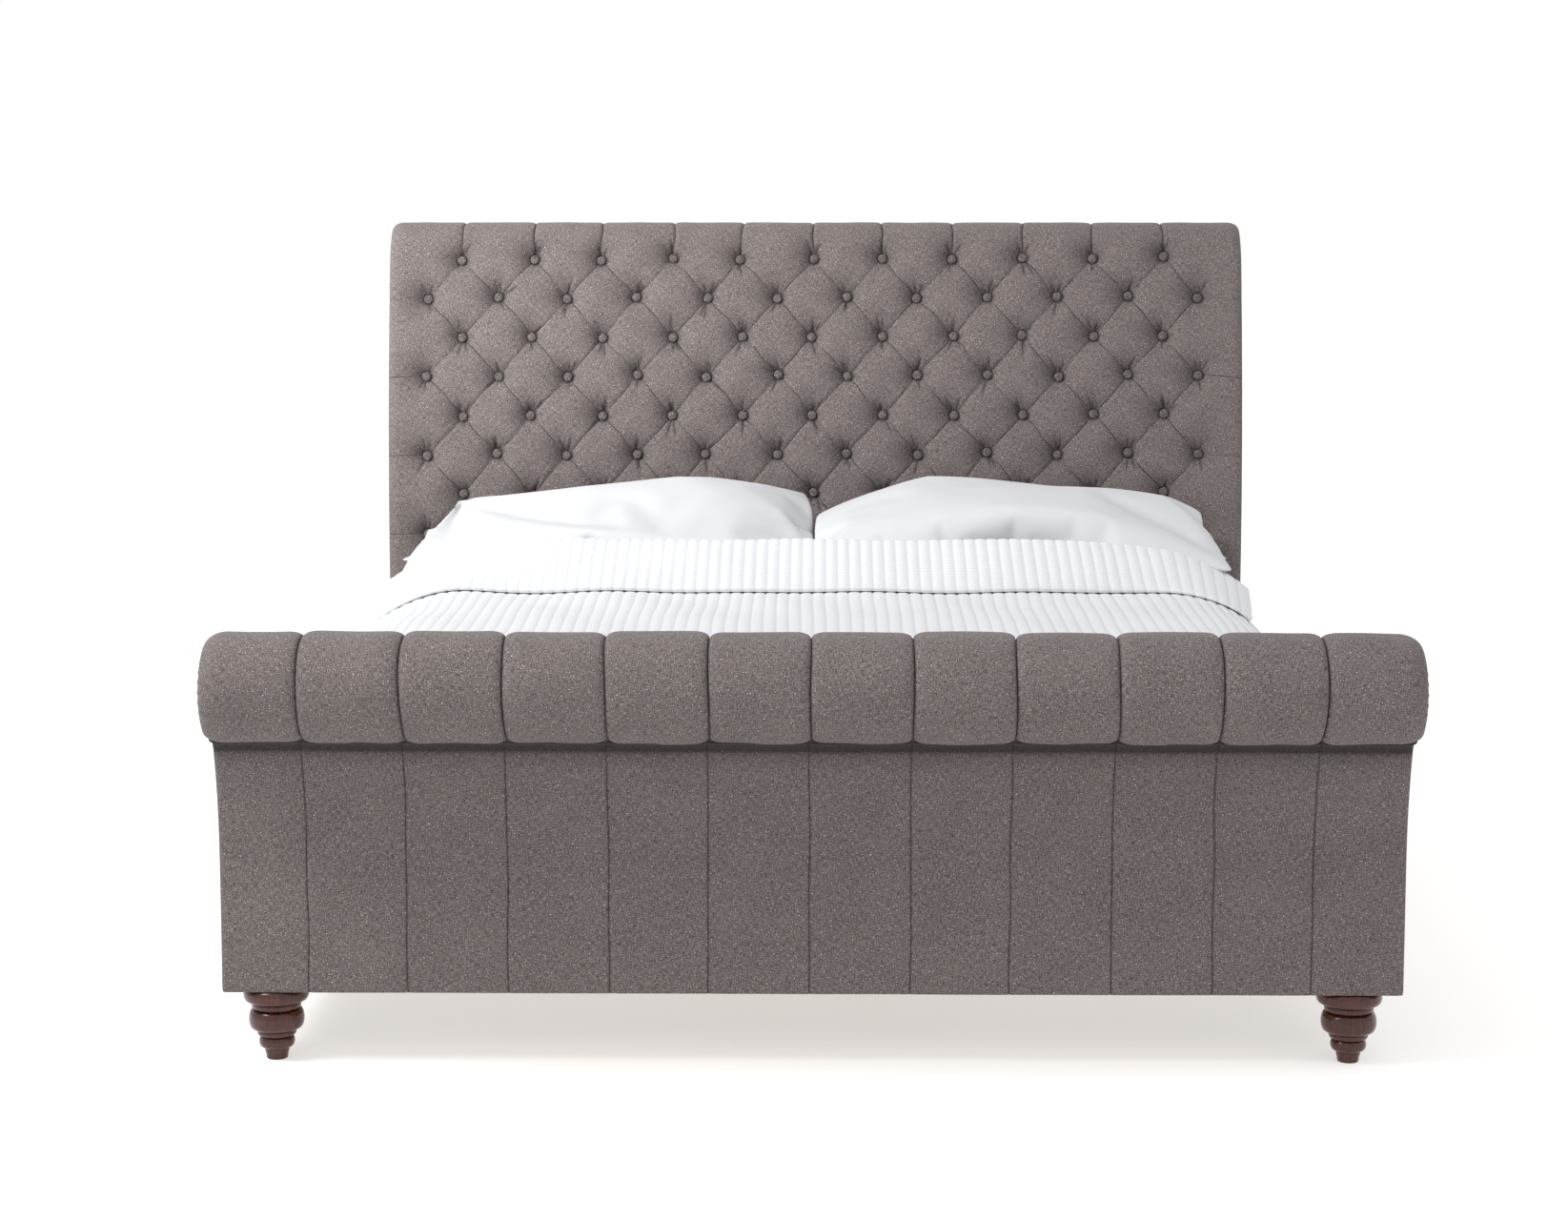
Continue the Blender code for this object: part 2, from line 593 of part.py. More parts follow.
def coverlet():
    """A quilt over the mattress, tucked in at the sides and foot and turned back at the head."""
    soft = 0.022
    side = MATTRESS.x / 2 + GAP
    top = MATTRESS_TOP + GAP
    hem = RAIL_TOP - COVERLET_TUCK
    foot_y = MATTRESS_Y - MATTRESS.y / 2 - GAP
    head_y = foot_y + COVERLET_LENGTH
    fold_front, fold_height = head_y - FOLD_WIDTH, FOLD_HEIGHT

    def arch(inset, drop, raised=0.0):
        """Half round profile across the bed: down one side, over the top, down the other."""
        half = side + COVERLET_THICKNESS - inset
        high = top + COVERLET_THICKNESS - drop
        corner = soft + COVERLET_THICKNESS
        right = [(half, hem), (half, high - corner), (half - corner * 0.3, high - corner * 0.3),
                 (half - corner, high + raised * 0.35), (half * 0.80, high + raised * 0.8),
                 (half * 0.45, high + raised)]
        return right + [(0, high + raised)] + [(-x, z) for x, z in right[::-1]]

    inner = [(side, hem), (side, top - soft), (side - soft * 0.3, top - soft * 0.3),
             (side - soft, top), (side * 0.80, top), (side * 0.45, top), (0, top)]
    inner += [(-x, z) for x, z in inner[-2::-1]]
    rings = []
    edge = 0.012
    stations = ((foot_y + 0.030, 0.0, 0.0), (fold_front - 0.004, 0.0, 0.0),
                (fold_front + 0.004, 0.0, 0.020), (fold_front + 0.10, 0.0, fold_height * 0.62),
                (head_y - 0.05, 0.0, fold_height), (head_y - edge, 0.0, fold_height * 0.9),
                (head_y, 0.002, fold_height * 0.45))
    for y, inset, raised in stations:
        outer = arch(inset, 0, raised)
        rings.append([(x, y, z) for x, z in outer] + [(x, y, z) for x, z in inner[::-1]])
    loft("coverlet", rings, "quilting")


def pillow(name, centre_x, spine, thickness, half_length):
    """A cushion whose middle surface follows a spine in Y and Z; its sides pull in at the corners."""
    across, along = 12, 8
    bm = bmesh.new()
    grids = {}
    for face in (1, -1):
        for i in range(across + 1):
            for j in range(along + 1):
                u, v = 2 * i / across - 1, 2 * j / along - 1
                rim = abs(u) == 1 or abs(v) == 1
                key = (i, j, 0 if rim else face)
                if key in grids:
                    continue
                y, z = spine_point(spine, (v * (1 - 0.035 * (1 - u * u)) + 1) / 2)
                x = centre_x + half_length * u * (1 - 0.03 * (1 - v * v))
                puff = thickness / 2 * ((1 - u ** 4) * (1 - v ** 4)) ** 0.6
                grids[key] = bm.verts.new((x, y, z + (0 if rim else face * puff)))
    for face in (1, -1):
        for i in range(across):
            for j in range(along):
                corners = []
                for a, b in ((i, j), (i + 1, j), (i + 1, j + 1), (i, j + 1)):
                    rim = a in (0, across) or b in (0, along)
                    corners.append(grids[(a, b, 0 if rim else face)])
                bm.faces.new(corners)
    return add(name, bm, "cotton", smooth=60)


def spine_point(spine, part):
    """A point part of the way along a smooth curve through three spine points."""
    (y0, z0), (y1, z1), (y2, z2) = spine
    a, b, c = (1 - part) ** 2, 2 * part * (1 - part), part ** 2
    return a * y0 + b * y1 + c * y2, a * z0 + b * z1 + c * z2


def pillows():
    """On each side one pillow lies on the mattress and another leans over it."""
    back_y = HEAD_FACE_Y - HEADBOARD_CLEARANCE
    half = PILLOW_LENGTH / 2
    for side, name in ((-1, "left"), (1, "right")):
        for place, spine, thickness in (("back", LYING_SPINE, LOWER_PILLOW),
                                        ("front", LEANING_SPINE, UPPER_PILLOW)):
            middle = [(back_y + y, MATTRESS_TOP + z) for y, z in spine]
            pillow(f"pillow_{name}_{place}", side * (half + 0.012), middle, thickness, half)


def main():
    for thing in list(bpy.data.objects):
        bpy.data.objects.remove(thing, do_unlink=True)
    empties = board_empties()
    headboard(empties["headboard"])
    footboard(empties["footboard"])
    side_rails()
    rail_brackets()
    slats()
    centre_support()
    feet()
    mattress()
    coverlet()
    pillows()


main()
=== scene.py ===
"""Looks of the king size sleigh bed: upholstery, stitching, nail heads, timber, bedding, floor and light.

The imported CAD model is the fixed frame. Everything is in metres with +Z up. The footboard is towards
-Y, the headboard towards +Y, and left is -X. A depth is measured inwards from a sleigh board's outline.
"""
import math
import random

import bmesh
import bpy
import numpy as np
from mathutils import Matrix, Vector


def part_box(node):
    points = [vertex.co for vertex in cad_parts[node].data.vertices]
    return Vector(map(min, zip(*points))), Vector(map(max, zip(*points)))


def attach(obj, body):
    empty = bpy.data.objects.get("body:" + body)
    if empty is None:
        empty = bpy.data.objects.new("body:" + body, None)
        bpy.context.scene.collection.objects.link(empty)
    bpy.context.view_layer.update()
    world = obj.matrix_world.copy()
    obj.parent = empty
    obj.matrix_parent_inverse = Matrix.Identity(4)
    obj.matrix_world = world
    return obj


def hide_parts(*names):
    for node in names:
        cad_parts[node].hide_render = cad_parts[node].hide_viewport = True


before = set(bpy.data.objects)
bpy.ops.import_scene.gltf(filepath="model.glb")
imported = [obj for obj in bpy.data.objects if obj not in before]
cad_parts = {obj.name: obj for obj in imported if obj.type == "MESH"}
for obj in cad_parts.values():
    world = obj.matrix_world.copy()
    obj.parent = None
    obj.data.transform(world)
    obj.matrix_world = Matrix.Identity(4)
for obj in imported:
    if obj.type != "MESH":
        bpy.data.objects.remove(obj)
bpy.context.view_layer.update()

BODY = "bed_frame"
SIDES = ((-1, "left"), (1, "right"))


# ---------------------------------------------------------------- objects and camera

def add_object(name, data):
    """A new object in the scene."""
    made = bpy.data.objects.new(name, data)
    bpy.context.scene.collection.objects.link(made)
    return made


def make_camera():
    """Eye height, a little above the bed, looking slightly down from the foot end."""
    data = bpy.data.cameras.new("view")
    data.lens = 71.76
    data.sensor_width = 36
    data.shift_y = -0.06
    data.clip_end = 60
    camera = add_object("view", data)
    camera.location = (0.0152, -6.4038, 1.5742)
    camera.rotation_euler = (math.radians(90 - 6.61), 0, 0.0119)
    bpy.context.scene.camera = camera


# ---------------------------------------------------------------- material helpers

class Finish:
    """A procedural material being wired up: a Principled shader and short ways to feed it."""

    def __init__(self, name, roughness, metallic=0.0, **constants):
        self.material = bpy.data.materials.new(name)
        self.material.use_nodes = True
        self.tree = self.material.node_tree
        self.shader = self.tree.nodes["Principled BSDF"]
        self.shader.inputs["Roughness"].default_value = roughness
        self.shader.inputs["Metallic"].default_value = metallic
        for key, value in constants.items():
            self.shader.inputs[key.replace("_", " ")].default_value = value

    def add(self, kind, inputs=None, **settings):
        node = self.tree.nodes.new("ShaderNode" + kind)
        for key, value in settings.items():
            setattr(node, key, value)
        for socket, value in (inputs or {}).items():
            self.put(node.inputs[socket], value)
        return node

    def put(self, socket, value):
        if isinstance(value, bpy.types.NodeSocket):
            self.tree.links.new(value, socket)
        else:
            socket.default_value = value

    def math(self, operation, a, b=0.0, clamp=False):
        return self.add("Math", {0: a, 1: b}, operation=operation, use_clamp=clamp).outputs[0]

    def remap(self, value, low, high, to_low=0.0, to_high=1.0):
        """Linear remap of low..high to to_low..to_high, clamped."""
        return self.add("MapRange", {"Value": value, "From Min": low, "From Max": high,
                                     "To Min": to_low, "To Max": to_high}).outputs["Result"]

    def spread(self, noise, low, high):
        """A noise's usual range laid over low..high."""
        return self.remap(noise, 0.3, 0.7, low, high)

    def total(self, start, *terms):
        """A start value and more values, each multiplied by its gain."""
        for value, gain in terms:
            start = self.math("ADD", start, self.math("MULTIPLY", value, gain))
        return start

    def position(self, source="object"):
        """Coordinates in metres: the model's own, or a piece's fabric coordinates."""
        if source == "object":
            return self.add("TexCoord").outputs["Object"]
        return self.add("UVMap", uv_map=source).outputs["UV"]

    def noise(self, position, scale, detail, roughness=0.55, distortion=0.0):
        """Noise; scale is one number or one per axis, in cells per metre."""
        if not isinstance(scale, (int, float)):
            stretch = self.add("VectorMath", {0: position, 1: scale}, operation="MULTIPLY")
            position, scale = stretch.outputs[0], 1.0
        made = self.add("TexNoise", {"Vector": position, "Scale": scale, "Detail": detail,
                                     "Roughness": roughness, "Distortion": distortion})
        return made.outputs["Fac"]

    def sine(self, position, axis, frequency):
        """A sine wave, 0 to 1, along an axis, with so many periods per metre."""
        part = self.add("SeparateXYZ", {0: position}).outputs[axis]
        turned = self.math("MULTIPLY", part, 2 * math.pi * frequency)
        return self.math("MULTIPLY_ADD", self.math("SINE", turned), 0.5)

    def attribute(self, name):
        return self.add("Attribute", attribute_name=name).outputs["Fac"]

    def mix(self, factor, a, b):
        node = self.add("Mix", data_type="RGBA")
        self.put(node.inputs["Factor"], factor)
        self.put(node.inputs["A"], (*a, 1) if isinstance(a, tuple) else a)
        self.put(node.inputs["B"], (*b, 1) if isinstance(b, tuple) else b)
        return node.outputs["Result"]

    def darkened(self, colour, shade, strength, dark):
        """A colour that turns dark where there is shade."""
        return self.mix(self.math("MULTIPLY", shade, strength, clamp=True), colour, dark)

    def colour(self, value):
        self.put(self.shader.inputs["Base Color"], value)

    def uneven_colour(self, colour, value):
        """One colour made lighter or darker by a value around 1."""
        node = self.add("VectorMath", {0: colour, "Scale": value}, operation="SCALE")
        self.colour(node.outputs[0])

    def rough(self, value):
        self.put(self.shader.inputs["Roughness"], value)

    def bump(self, height, distance, strength):
        node = self.add("Bump", {"Strength": strength, "Distance": distance, "Height": height})
        self.put(self.shader.inputs["Normal"], node.outputs["Normal"])


def weave_height(finish, cloth, threads):
    """Plain weave: threads per metre in both directions, over and under."""
    across = finish.sine(cloth, "X", threads / 2)
    along = finish.sine(cloth, "Y", threads / 2)
    over = finish.math("MULTIPLY", *(finish.math("SUBTRACT", wave, 0.5) for wave in (across, along)))
    return finish.math("ADD", over, 0.5)


def linen(name, tufted=False, tone=1.0):
    """Heathered grey-brown linen: slubs along warp and weft, pale flecks, a plain weave."""
    finish = Finish(name, 0.90, Sheen_Weight=0.10, Sheen_Roughness=0.4, Specular_IOR_Level=0.25)
    cloth = finish.position("cloth")
    warp, weft = finish.noise(cloth, (110, 780, 1), 2, 0.6), finish.noise(cloth, (720, 100, 1), 2, 0.6)
    layers = ((warp, 1.6), (weft, 1.6), (finish.noise(cloth, (560, 560, 1), 2, 0.7), 2.1),
              (finish.noise(cloth, (11, 11, 1), 3), 0.22))
    value = finish.total(0.5 - sum(gain for _, gain in layers) / 2, *layers)
    dark = tuple(part * tone for part in (0.0315, 0.0252, 0.0238))
    pale = tuple(part * tone for part in (0.2215, 0.190, 0.183))
    colour = finish.mix(finish.remap(value, 0.0, 1.0), dark, pale)
    flecks = finish.noise(cloth, (390, 440, 1), 1, 0.5)
    colour = finish.mix(finish.remap(flecks, 0.665, 0.73, 0.0, 0.85), colour, (0.70, 0.64, 0.61))
    # Painted shade: the shade attribute, and on the tufting the fold lines, darken the linen in seams,
    # creases, round the buttons and under the roll
    shade = finish.attribute("shade")
    if tufted:
        shade = finish.math("MAXIMUM", shade, painted_crease_shade(finish))
    finish.colour(finish.darkened(colour, shade, 0.88, (0.010, 0.007, 0.006)))
    yarns = finish.math("ADD", warp, weft)
    finish.bump(finish.math("ADD", yarns, weave_height(finish, cloth, 900)), 0.0006, 0.6)
    return finish.material


def painted_crease_shade(finish):
    """Painted shade: thin dark lines along the folds between the buttons, from the tufting's own grid."""
    lattice = finish.add("SeparateXYZ", {0: finish.position("tufts")})
    distances = []
    for axis in ("X", "Y"):
        part = lattice.outputs[axis]
        away = finish.math("ABSOLUTE", finish.math("SUBTRACT", part, finish.math("ROUND", part)))
        distances.append(finish.math("DIVIDE", away, FOLD_GRADIENT))
    nearest = finish.math("MINIMUM", *distances)
    line = finish.remap(nearest, 0.0004, 0.0020, 1.0, 0.0)
    fade = finish.noise(finish.position("tufts"), (1.7, 1.7, 1), 1)
    strength = finish.remap(fade, 0.32, 0.56, 0.30, 0.95)
    return finish.math("MULTIPLY", line, strength)


def cotton(name):
    """Fine white percale with faint unevenness."""
    finish = Finish(name, 0.80, Sheen_Weight=0.12, Sheen_Roughness=0.4)
    place = finish.position()
    cloudy = finish.noise(place, 7, 3)
    threadwork = finish.noise(place, (1500, 300, 900), 2)
    value = finish.math("ADD", finish.spread(cloudy, -0.015, 0.015), finish.spread(threadwork, 0.985, 1.015))
    finish.uneven_colour((0.475, 0.484, 0.498), value)
    finish.bump(finish.math("ADD", threadwork, finish.noise(place, 2600, 1)), 0.0002, 0.3)
    return finish.material


def quilted_cotton(name):
    """Washed cotton quilting: painted shade along the stitch lines, with small puckers beside them."""
    finish = Finish(name, 0.84, Sheen_Weight=0.10, Sheen_Roughness=0.5)
    cloth = finish.position("cloth")
    cloudy = finish.noise(cloth, (6, 6, 1), 3)
    threadwork = finish.noise(cloth, (1400, 700, 1), 2)
    value = finish.math("ADD", finish.spread(cloudy, -0.02, 0.02), finish.spread(threadwork, 0.98, 1.02))
    # Painted shade along the stitch lines, from the shade attribute
    finish.uneven_colour((0.592, 0.606, 0.626), finish.total(value, (finish.attribute("shade"), -0.30)))
    finish.bump(finish.total(finish.noise(cloth, (260, 40, 1), 2), (threadwork, 0.3)), 0.0012, 0.4)
    return finish.material


def timber(name, grain):
    """Planed softwood; the grain runs along one axis (0, 1 or 2)."""
    finish = Finish(name, 0.62)
    place = finish.position()
    rings = finish.noise(place, tuple(2.2 if axis == grain else 38.0 for axis in range(3)), 4, 0.6, 0.6)
    fibre = finish.noise(place, tuple(14.0 if axis == grain else 900.0 for axis in range(3)), 2)
    value = finish.remap(finish.total(0.0, (rings, 0.75), (fibre, 0.35)), 0.32, 0.78)
    finish.colour(finish.mix(value, (0.36, 0.22, 0.11), (0.60, 0.42, 0.25)))
    finish.rough(finish.spread(fibre, 0.52, 0.72))
    finish.bump(fibre, 0.0004, 0.5)
    return finish.material


def plywood(name):
    """Birch plywood: pale veneer with thin darker plies seen on its edges."""
    finish = Finish(name, 0.7)
    place = finish.position()
    veneer = finish.noise(place, (3, 60, 16), 4, 0.6, 0.8)
    value = finish.total(0.0, (veneer, 0.9), (finish.sine(place, "Y", 640), 0.12))
    finish.colour(finish.mix(finish.remap(value, 0.3, 0.8), (0.44, 0.30, 0.17), (0.68, 0.52, 0.34)))
    finish.bump(veneer, 0.0003, 0.4)
    return finish.material


def mahogany(name):
    """Red-brown turned feet under a glossy lacquer, with painted shade in the quirks."""
    finish = Finish(name, 0.24, Coat_Weight=0.35, Coat_Roughness=0.05, Specular_IOR_Level=0.35)
    place = finish.position()
    grain = finish.noise(place, (260, 260, 26), 4, 0.65, 0.5)
    value = finish.total(0.0, (grain, 0.8), (finish.noise(place, 30, 2), 0.25))
    colour = finish.mix(finish.remap(value, 0.35, 0.75), (0.008, 0.002, 0.0015), (0.105, 0.021, 0.010))
    # Painted shade from the shade attribute
    finish.colour(finish.darkened(colour, finish.attribute("shade"), 0.75, (0.008, 0.003, 0.002)))
    finish.bump(grain, 0.0002, 0.25)
    return finish.material


def metal(name, colour, pale, roughness):
    """Powder coated or aged metal: a fine orange-peel bump and slight wear."""
    finish = Finish(name, roughness, metallic=1.0)
    place = finish.position()
    mottled = finish.noise(place, 240, 3)
    finish.colour(finish.mix(finish.remap(mottled, 0.40, 0.72), colour, pale))
    finish.rough(finish.spread(finish.noise(place, 90, 2), roughness * 0.85, roughness * 1.2))
    finish.bump(mottled, 0.0002, 0.3)
    return finish.material


def ticking(name):
    """White knitted mattress ticking with a fine knit."""
    finish = Finish(name, 0.85, Sheen_Weight=0.08, Sheen_Roughness=0.5)
    place = finish.position()
    knit = finish.noise(place, (700, 700, 700), 2)
    cloudy = finish.noise(place, 9, 2)
    value = finish.math("ADD", finish.spread(knit, 0.95, 1.03), finish.spread(cloudy, -0.02, 0.02))
    finish.uneven_colour((0.66, 0.665, 0.67), value)
    finish.bump(knit, 0.0006, 0.5)
    return finish.material


def floor_paint(name):
    """A plain pale studio floor, lit a little from within so that it stays white round the bed."""
    finish = Finish(name, 0.9, Specular_IOR_Level=0.0, Emission_Color=(1, 0.985, 0.965, 1),
                    Emission_Strength=0.50)
    even = finish.noise(finish.position(), 0.8, 2)
    finish.uneven_colour((0.62, 0.62, 0.62), finish.spread(even, 0.995, 1.005))
    return finish.material


# ---------------------------------------------------------------- mesh helpers

def quads(rows, columns, first=0, closed=False):
    """Faces of a grid of points stored row by row; closed joins the last column to the first."""
    index = first + np.arange(rows * columns).reshape(rows, columns)
    if closed:
        index = np.concatenate([index, index[:, :1]], axis=1)
    corners = (index[:-1, :-1], index[:-1, 1:], index[1:, 1:], index[1:, :-1])
    return np.stack(corners, axis=-1).reshape(-1, 4).tolist()


def capped(rings, count):
    """Faces of closed rings of points laid one after another, with a lid on the first and the last."""
    last = (rings - 1) * count
    return quads(rings, count, closed=True) + [list(range(count)), list(range(last, last + count))]


def arc(centre, radii, start, end, steps):
    """Points along an arc of an ellipse between two angles in degrees, both included."""
    turns = np.radians(np.linspace(start, end, steps + 1))
    return [(centre[0] + radii[0] * math.cos(turn), centre[1] + radii[1] * math.sin(turn))
            for turn in turns]


def run_lengths(points):
    """Distance of every point of a row from the first, measured along the row."""
    steps = np.linalg.norm(np.diff(points, axis=0), axis=1)
    return np.concatenate([[0], np.cumsum(steps)])


def smoothstep(low, high, value):
    """0 up to low, 1 from high on, with a smooth rise between."""
    part = np.clip((value - low) / (high - low), 0, 1)
    return part * part * (3 - 2 * part)


def bell(distance, width, power=2):
    """1 at no distance, fading over a width; a higher power fades later and faster."""
    return np.exp(-(distance / width) ** power)


class Ripple:
    """A smooth random function of two coordinates, roughly within -1 and 1."""

    def __init__(self, seed, wavelength, count=7):
        chance = np.random.default_rng(seed)
        turn = chance.uniform(0, 2 * math.pi, count)
        size = 2 * math.pi / (wavelength * chance.uniform(0.7, 1.6, count))
        self.waves = list(zip(np.cos(turn) * size, np.sin(turn) * size,
                              chance.uniform(0, 2 * math.pi, count)))

    def __call__(self, a, b):
        total = sum(np.sin(p * a + q * b + phase) for p, q, phase in self.waves)
        return total / math.sqrt(len(self.waves)) / 1.4


def make_piece(name, points, faces, material, body=BODY, replaces=(), cloth=None, tufts=None,
               shade=None, sharp=50):
    """A mesh piece that rides on a body. Its faces are turned outwards and shaded smooth."""
    mesh = bpy.data.meshes.new(name)
    mesh.from_pydata(np.asarray(points, float).reshape(-1, 3).tolist(), [], faces)
    corner = np.empty(len(mesh.loops), dtype=np.int32)
    mesh.loops.foreach_get("vertex_index", corner)
    for layer_name, values in (("cloth", cloth), ("tufts", tufts)):
        if values is not None:
            layer = mesh.uv_layers.new(name=layer_name)
            layer.data.foreach_set("uv", np.asarray(values, float).reshape(-1, 2)[corner].ravel())
    if shade is not None:
        attribute = mesh.attributes.new("shade", "FLOAT", "POINT")
        attribute.data.foreach_set("value", np.asarray(shade, float).ravel())
    bm = bmesh.new()
    bm.from_mesh(mesh)
    bmesh.ops.recalc_face_normals(bm, faces=bm.faces)
    if bm.calc_volume(signed=True) < 0:
        bmesh.ops.reverse_faces(bm, faces=bm.faces)
    bm.to_mesh(mesh)
    bm.free()
    mesh.shade_smooth()
    mesh.set_sharp_from_angle(angle=math.radians(sharp))
    piece = add_object(name, mesh)
    mesh.materials.append(material)
    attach(piece, body)
    for node in replaces:
        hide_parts(node)
    return piece


def lathe(profile, steps, centre, axis, first):
    """Points and faces of a closed turned solid; the profile's (radius, height) starts and ends at
    the axis."""
    axis = Vector(axis).normalized()
    side = axis.orthogonal().normalized()
    other = axis.cross(side)
    points, rings = [], []
    for radius, height in profile:
        ring = []
        count = 1 if radius == 0 else steps
        for step in range(count):
            turn = 2 * math.pi * step / steps
            offset = side * (radius * math.cos(turn)) + other * (radius * math.sin(turn))
            ring.append(first + len(points))
            points.append(Vector(centre) + axis * height + offset)
        rings.append(ring)
    faces = []
    for ring, following in zip(rings, rings[1:]):
        for step in range(steps):
            after = (step + 1) % steps
            corners = [ring[step % len(ring)], ring[after % len(ring)],
                       following[after % len(following)], following[step % len(following)]]
            faces.append(list(dict.fromkeys(corners)))
    return points, faces


def turned_group(name, profile, steps, places, material, body=BODY, replaces=(), cloth=False,
                 shade=None):
    """Many copies of a turned solid as one piece; places are (centre, axis)."""
    points, faces, dark = [], [], []
    for centre, axis in places:
        made, made_faces = lathe(profile, steps, centre, axis, len(points))
        points += made
        faces += made_faces
        for (radius, _), value in zip(profile, shade or ()):
            dark += [value] * (1 if radius == 0 else steps)
    make_piece(name, points, faces, material, body, replaces,
               cloth=[(point.x, point.z) for point in points] if cloth else None, shade=dark or None)


# ---------------------------------------------------------------- sleigh board outlines

OUTLINE_STEP = 0.001             # between the points that an outline is measured by


def angle(vector):
    """The direction of a vector in a plane, from 0 to a full turn."""
    return math.atan2(vector.y, vector.x) % (2 * math.pi)


class Board:
    """A sleigh board's side outline. Local (u, z): u grows outwards from the mattress side.

    It goes up the inner face, through the bend to the roll, round the roll, and through a fillet and
    the hollow neck down the outer face. The out value is the direction of u along the model's Y."""

    def __init__(self, name, face_y, out, thickness, roll, roll_radius, bend_radius, neck,
                 fillet_radius, front_depth, back_depth):
        self.name, self.face_y, self.out = name, face_y, out
        self.thickness = thickness
        self.roll_centre, self.roll_radius = Vector(roll), roll_radius
        self.front_depth, self.back_depth = front_depth, back_depth
        rise = math.sqrt((bend_radius - roll_radius) ** 2 - (bend_radius - roll[0]) ** 2)
        self.bend_centre, self.bend_radius = Vector((bend_radius, roll[1] - rise)), bend_radius
        if neck is None:
            neck = (bend_radius - thickness, self.bend_centre.y)
        self.neck_centre, self.neck_radius = Vector((thickness + neck[0], neck[1])), neck[0]
        self.fillet_radius = fillet_radius
        between = self.roll_centre - self.neck_centre
        radius_a, radius_b = self.neck_radius - fillet_radius, roll_radius + fillet_radius
        distance = between.length
        along = (distance ** 2 + radius_a ** 2 - radius_b ** 2) / (2 * distance)
        across = math.sqrt(radius_a ** 2 - along ** 2)
        direction = between / distance
        sideways = Vector((-direction.y, direction.x))
        options = [self.neck_centre + direction * along + sideways * across * sign for sign in (-1, 1)]
        self.fillet_centre = min(options, key=lambda point: point.y)

    def stretch(self, part, low, high):
        """Close points and their outward normals along one named part of the outline."""
        to_roll = angle(self.roll_centre - self.bend_centre)
        to_fillet = angle(self.fillet_centre - self.roll_centre)
        neck_end = angle(self.fillet_centre - self.neck_centre)
        if part in ("inner", "outer"):
            u, normal = (0, -1) if part == "inner" else (self.thickness, 1)
            ends = [low, high] if part == "inner" else [self.neck_centre.y, low]
            z = np.linspace(*ends, max(2, round(abs(ends[1] - ends[0]) / OUTLINE_STEP)))
            return (np.stack([np.full(len(z), float(u)), z], 1),
                    np.tile([float(normal), 0.0], (len(z), 1)))
        centre, radius, start, sweep_end, side = {
            "bend": (self.bend_centre, self.bend_radius, math.pi, to_roll, 1),
            "roll": (self.roll_centre, self.roll_radius, to_roll, to_fillet, 1),
            "fillet": (self.fillet_centre, self.fillet_radius, to_fillet + math.pi, neck_end, -1),
            "neck": (self.neck_centre, self.neck_radius, neck_end, math.pi, -1)}[part]
        sweep = (sweep_end - start + math.pi) % (2 * math.pi) - math.pi
        if part == "roll":
            sweep = -((start - sweep_end) % (2 * math.pi))
        turn = start + sweep * np.linspace(0, 1, max(2, round(abs(sweep) * radius / OUTLINE_STEP)))
        direction = np.stack([np.cos(turn), np.sin(turn)], 1)
        return np.array(centre) + direction * radius, direction * side

    def path(self, parts, low=None, high=None):
        """Some neighbouring parts of the outline; low and high bound the inner and outer faces."""
        low = FOOT_TOP if low is None else low
        high = self.bend_centre.y if high is None else high
        return Path(self, [(part, *self.stretch(part, low, high)) for part in parts])


class Path:
    """Neighbouring parts of an outline as functions of the distance s along them."""

    def __init__(self, board, stretches):
        self.board = board
        points = np.concatenate([stretch[1] for stretch in stretches])
        steps = np.linalg.norm(np.diff(points, axis=0), axis=1)
        self.s = np.concatenate([[0], np.cumsum(np.maximum(steps, 1e-7))])
        self.columns = np.concatenate([points, np.concatenate([stretch[2] for stretch in stretches])],
                                      axis=1)
        self.length = self.s[-1]
        self.starts = {}
        index = 0
        for part, made, _ in stretches:
            self.starts[part] = (self.s[index], self.s[index + len(made) - 1])
            index += len(made)

    def share(self, s):
        """How much of the roll has been passed, 0 to 1."""
        if "roll" not in self.starts:
            return np.full(np.shape(s), 1.0 if "outer" in self.starts else 0.0)
        start, end = self.starts["roll"]
        return np.clip((s - start) / (end - start), 0, 1)

    def padding(self, s):
        """Thickness of the upholstery at s."""
        board = self.board
        return board.front_depth + (board.back_depth - board.front_depth) * self.share(s)

    def world(self, x, s, depth):
        """Points in the model's frame, at a depth below the outline."""
        u, z, normal_u, normal_z = (np.interp(s, self.s, column) for column in self.columns.T)
        y = self.board.face_y + self.board.out * (u - normal_u * depth)
        return np.stack([x + 0 * s, y, z - normal_z * depth], axis=-1)

    def direction(self, s):
        """Outward normal in the model's frame."""
        normal_u, normal_z = (np.interp(s, self.s, column) for column in self.columns.T[2:])
        return Vector((0, self.board.out * normal_u, normal_z))

    def at_height(self, z):
        """Distance along the path where it first rises to a height."""
        return float(self.s[np.argmax(self.columns[:, 1] >= z)])


lower_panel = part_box("headboard_lower_panel")
FOOT_TOP = lower_panel[0].z                               # bottom edge of both boards
FACING_INNER_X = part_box("headboard_facing_right")[0].x
FACING_OUTER_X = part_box("headboard_facing_right")[1].x
HALF_WIDTH = FACING_OUTER_X - 0.0032                      # the pads wrap over the edges of the facings
HEADBOARD = Board("headboard", lower_panel[0].y, 1, thickness=0.115, roll=(0.165, 1.335),
                  roll_radius=0.075, bend_radius=3.04, neck=None, fillet_radius=0.04,
                  front_depth=0.040, back_depth=0.020)
FOOTBOARD = Board("footboard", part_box("footboard_inner_panel")[1].y, -1, thickness=0.115,
                  roll=(0.190, 0.679), roll_radius=0.098, bend_radius=0.27, neck=(0.6, 0.36),
                  fillet_radius=0.03, front_depth=0.028, back_depth=0.020)
PANEL_GAP = 0.0003               # between two neighbouring panels on a board's inner face
TUFTING_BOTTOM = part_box("headboard_tufted_pad")[0].z
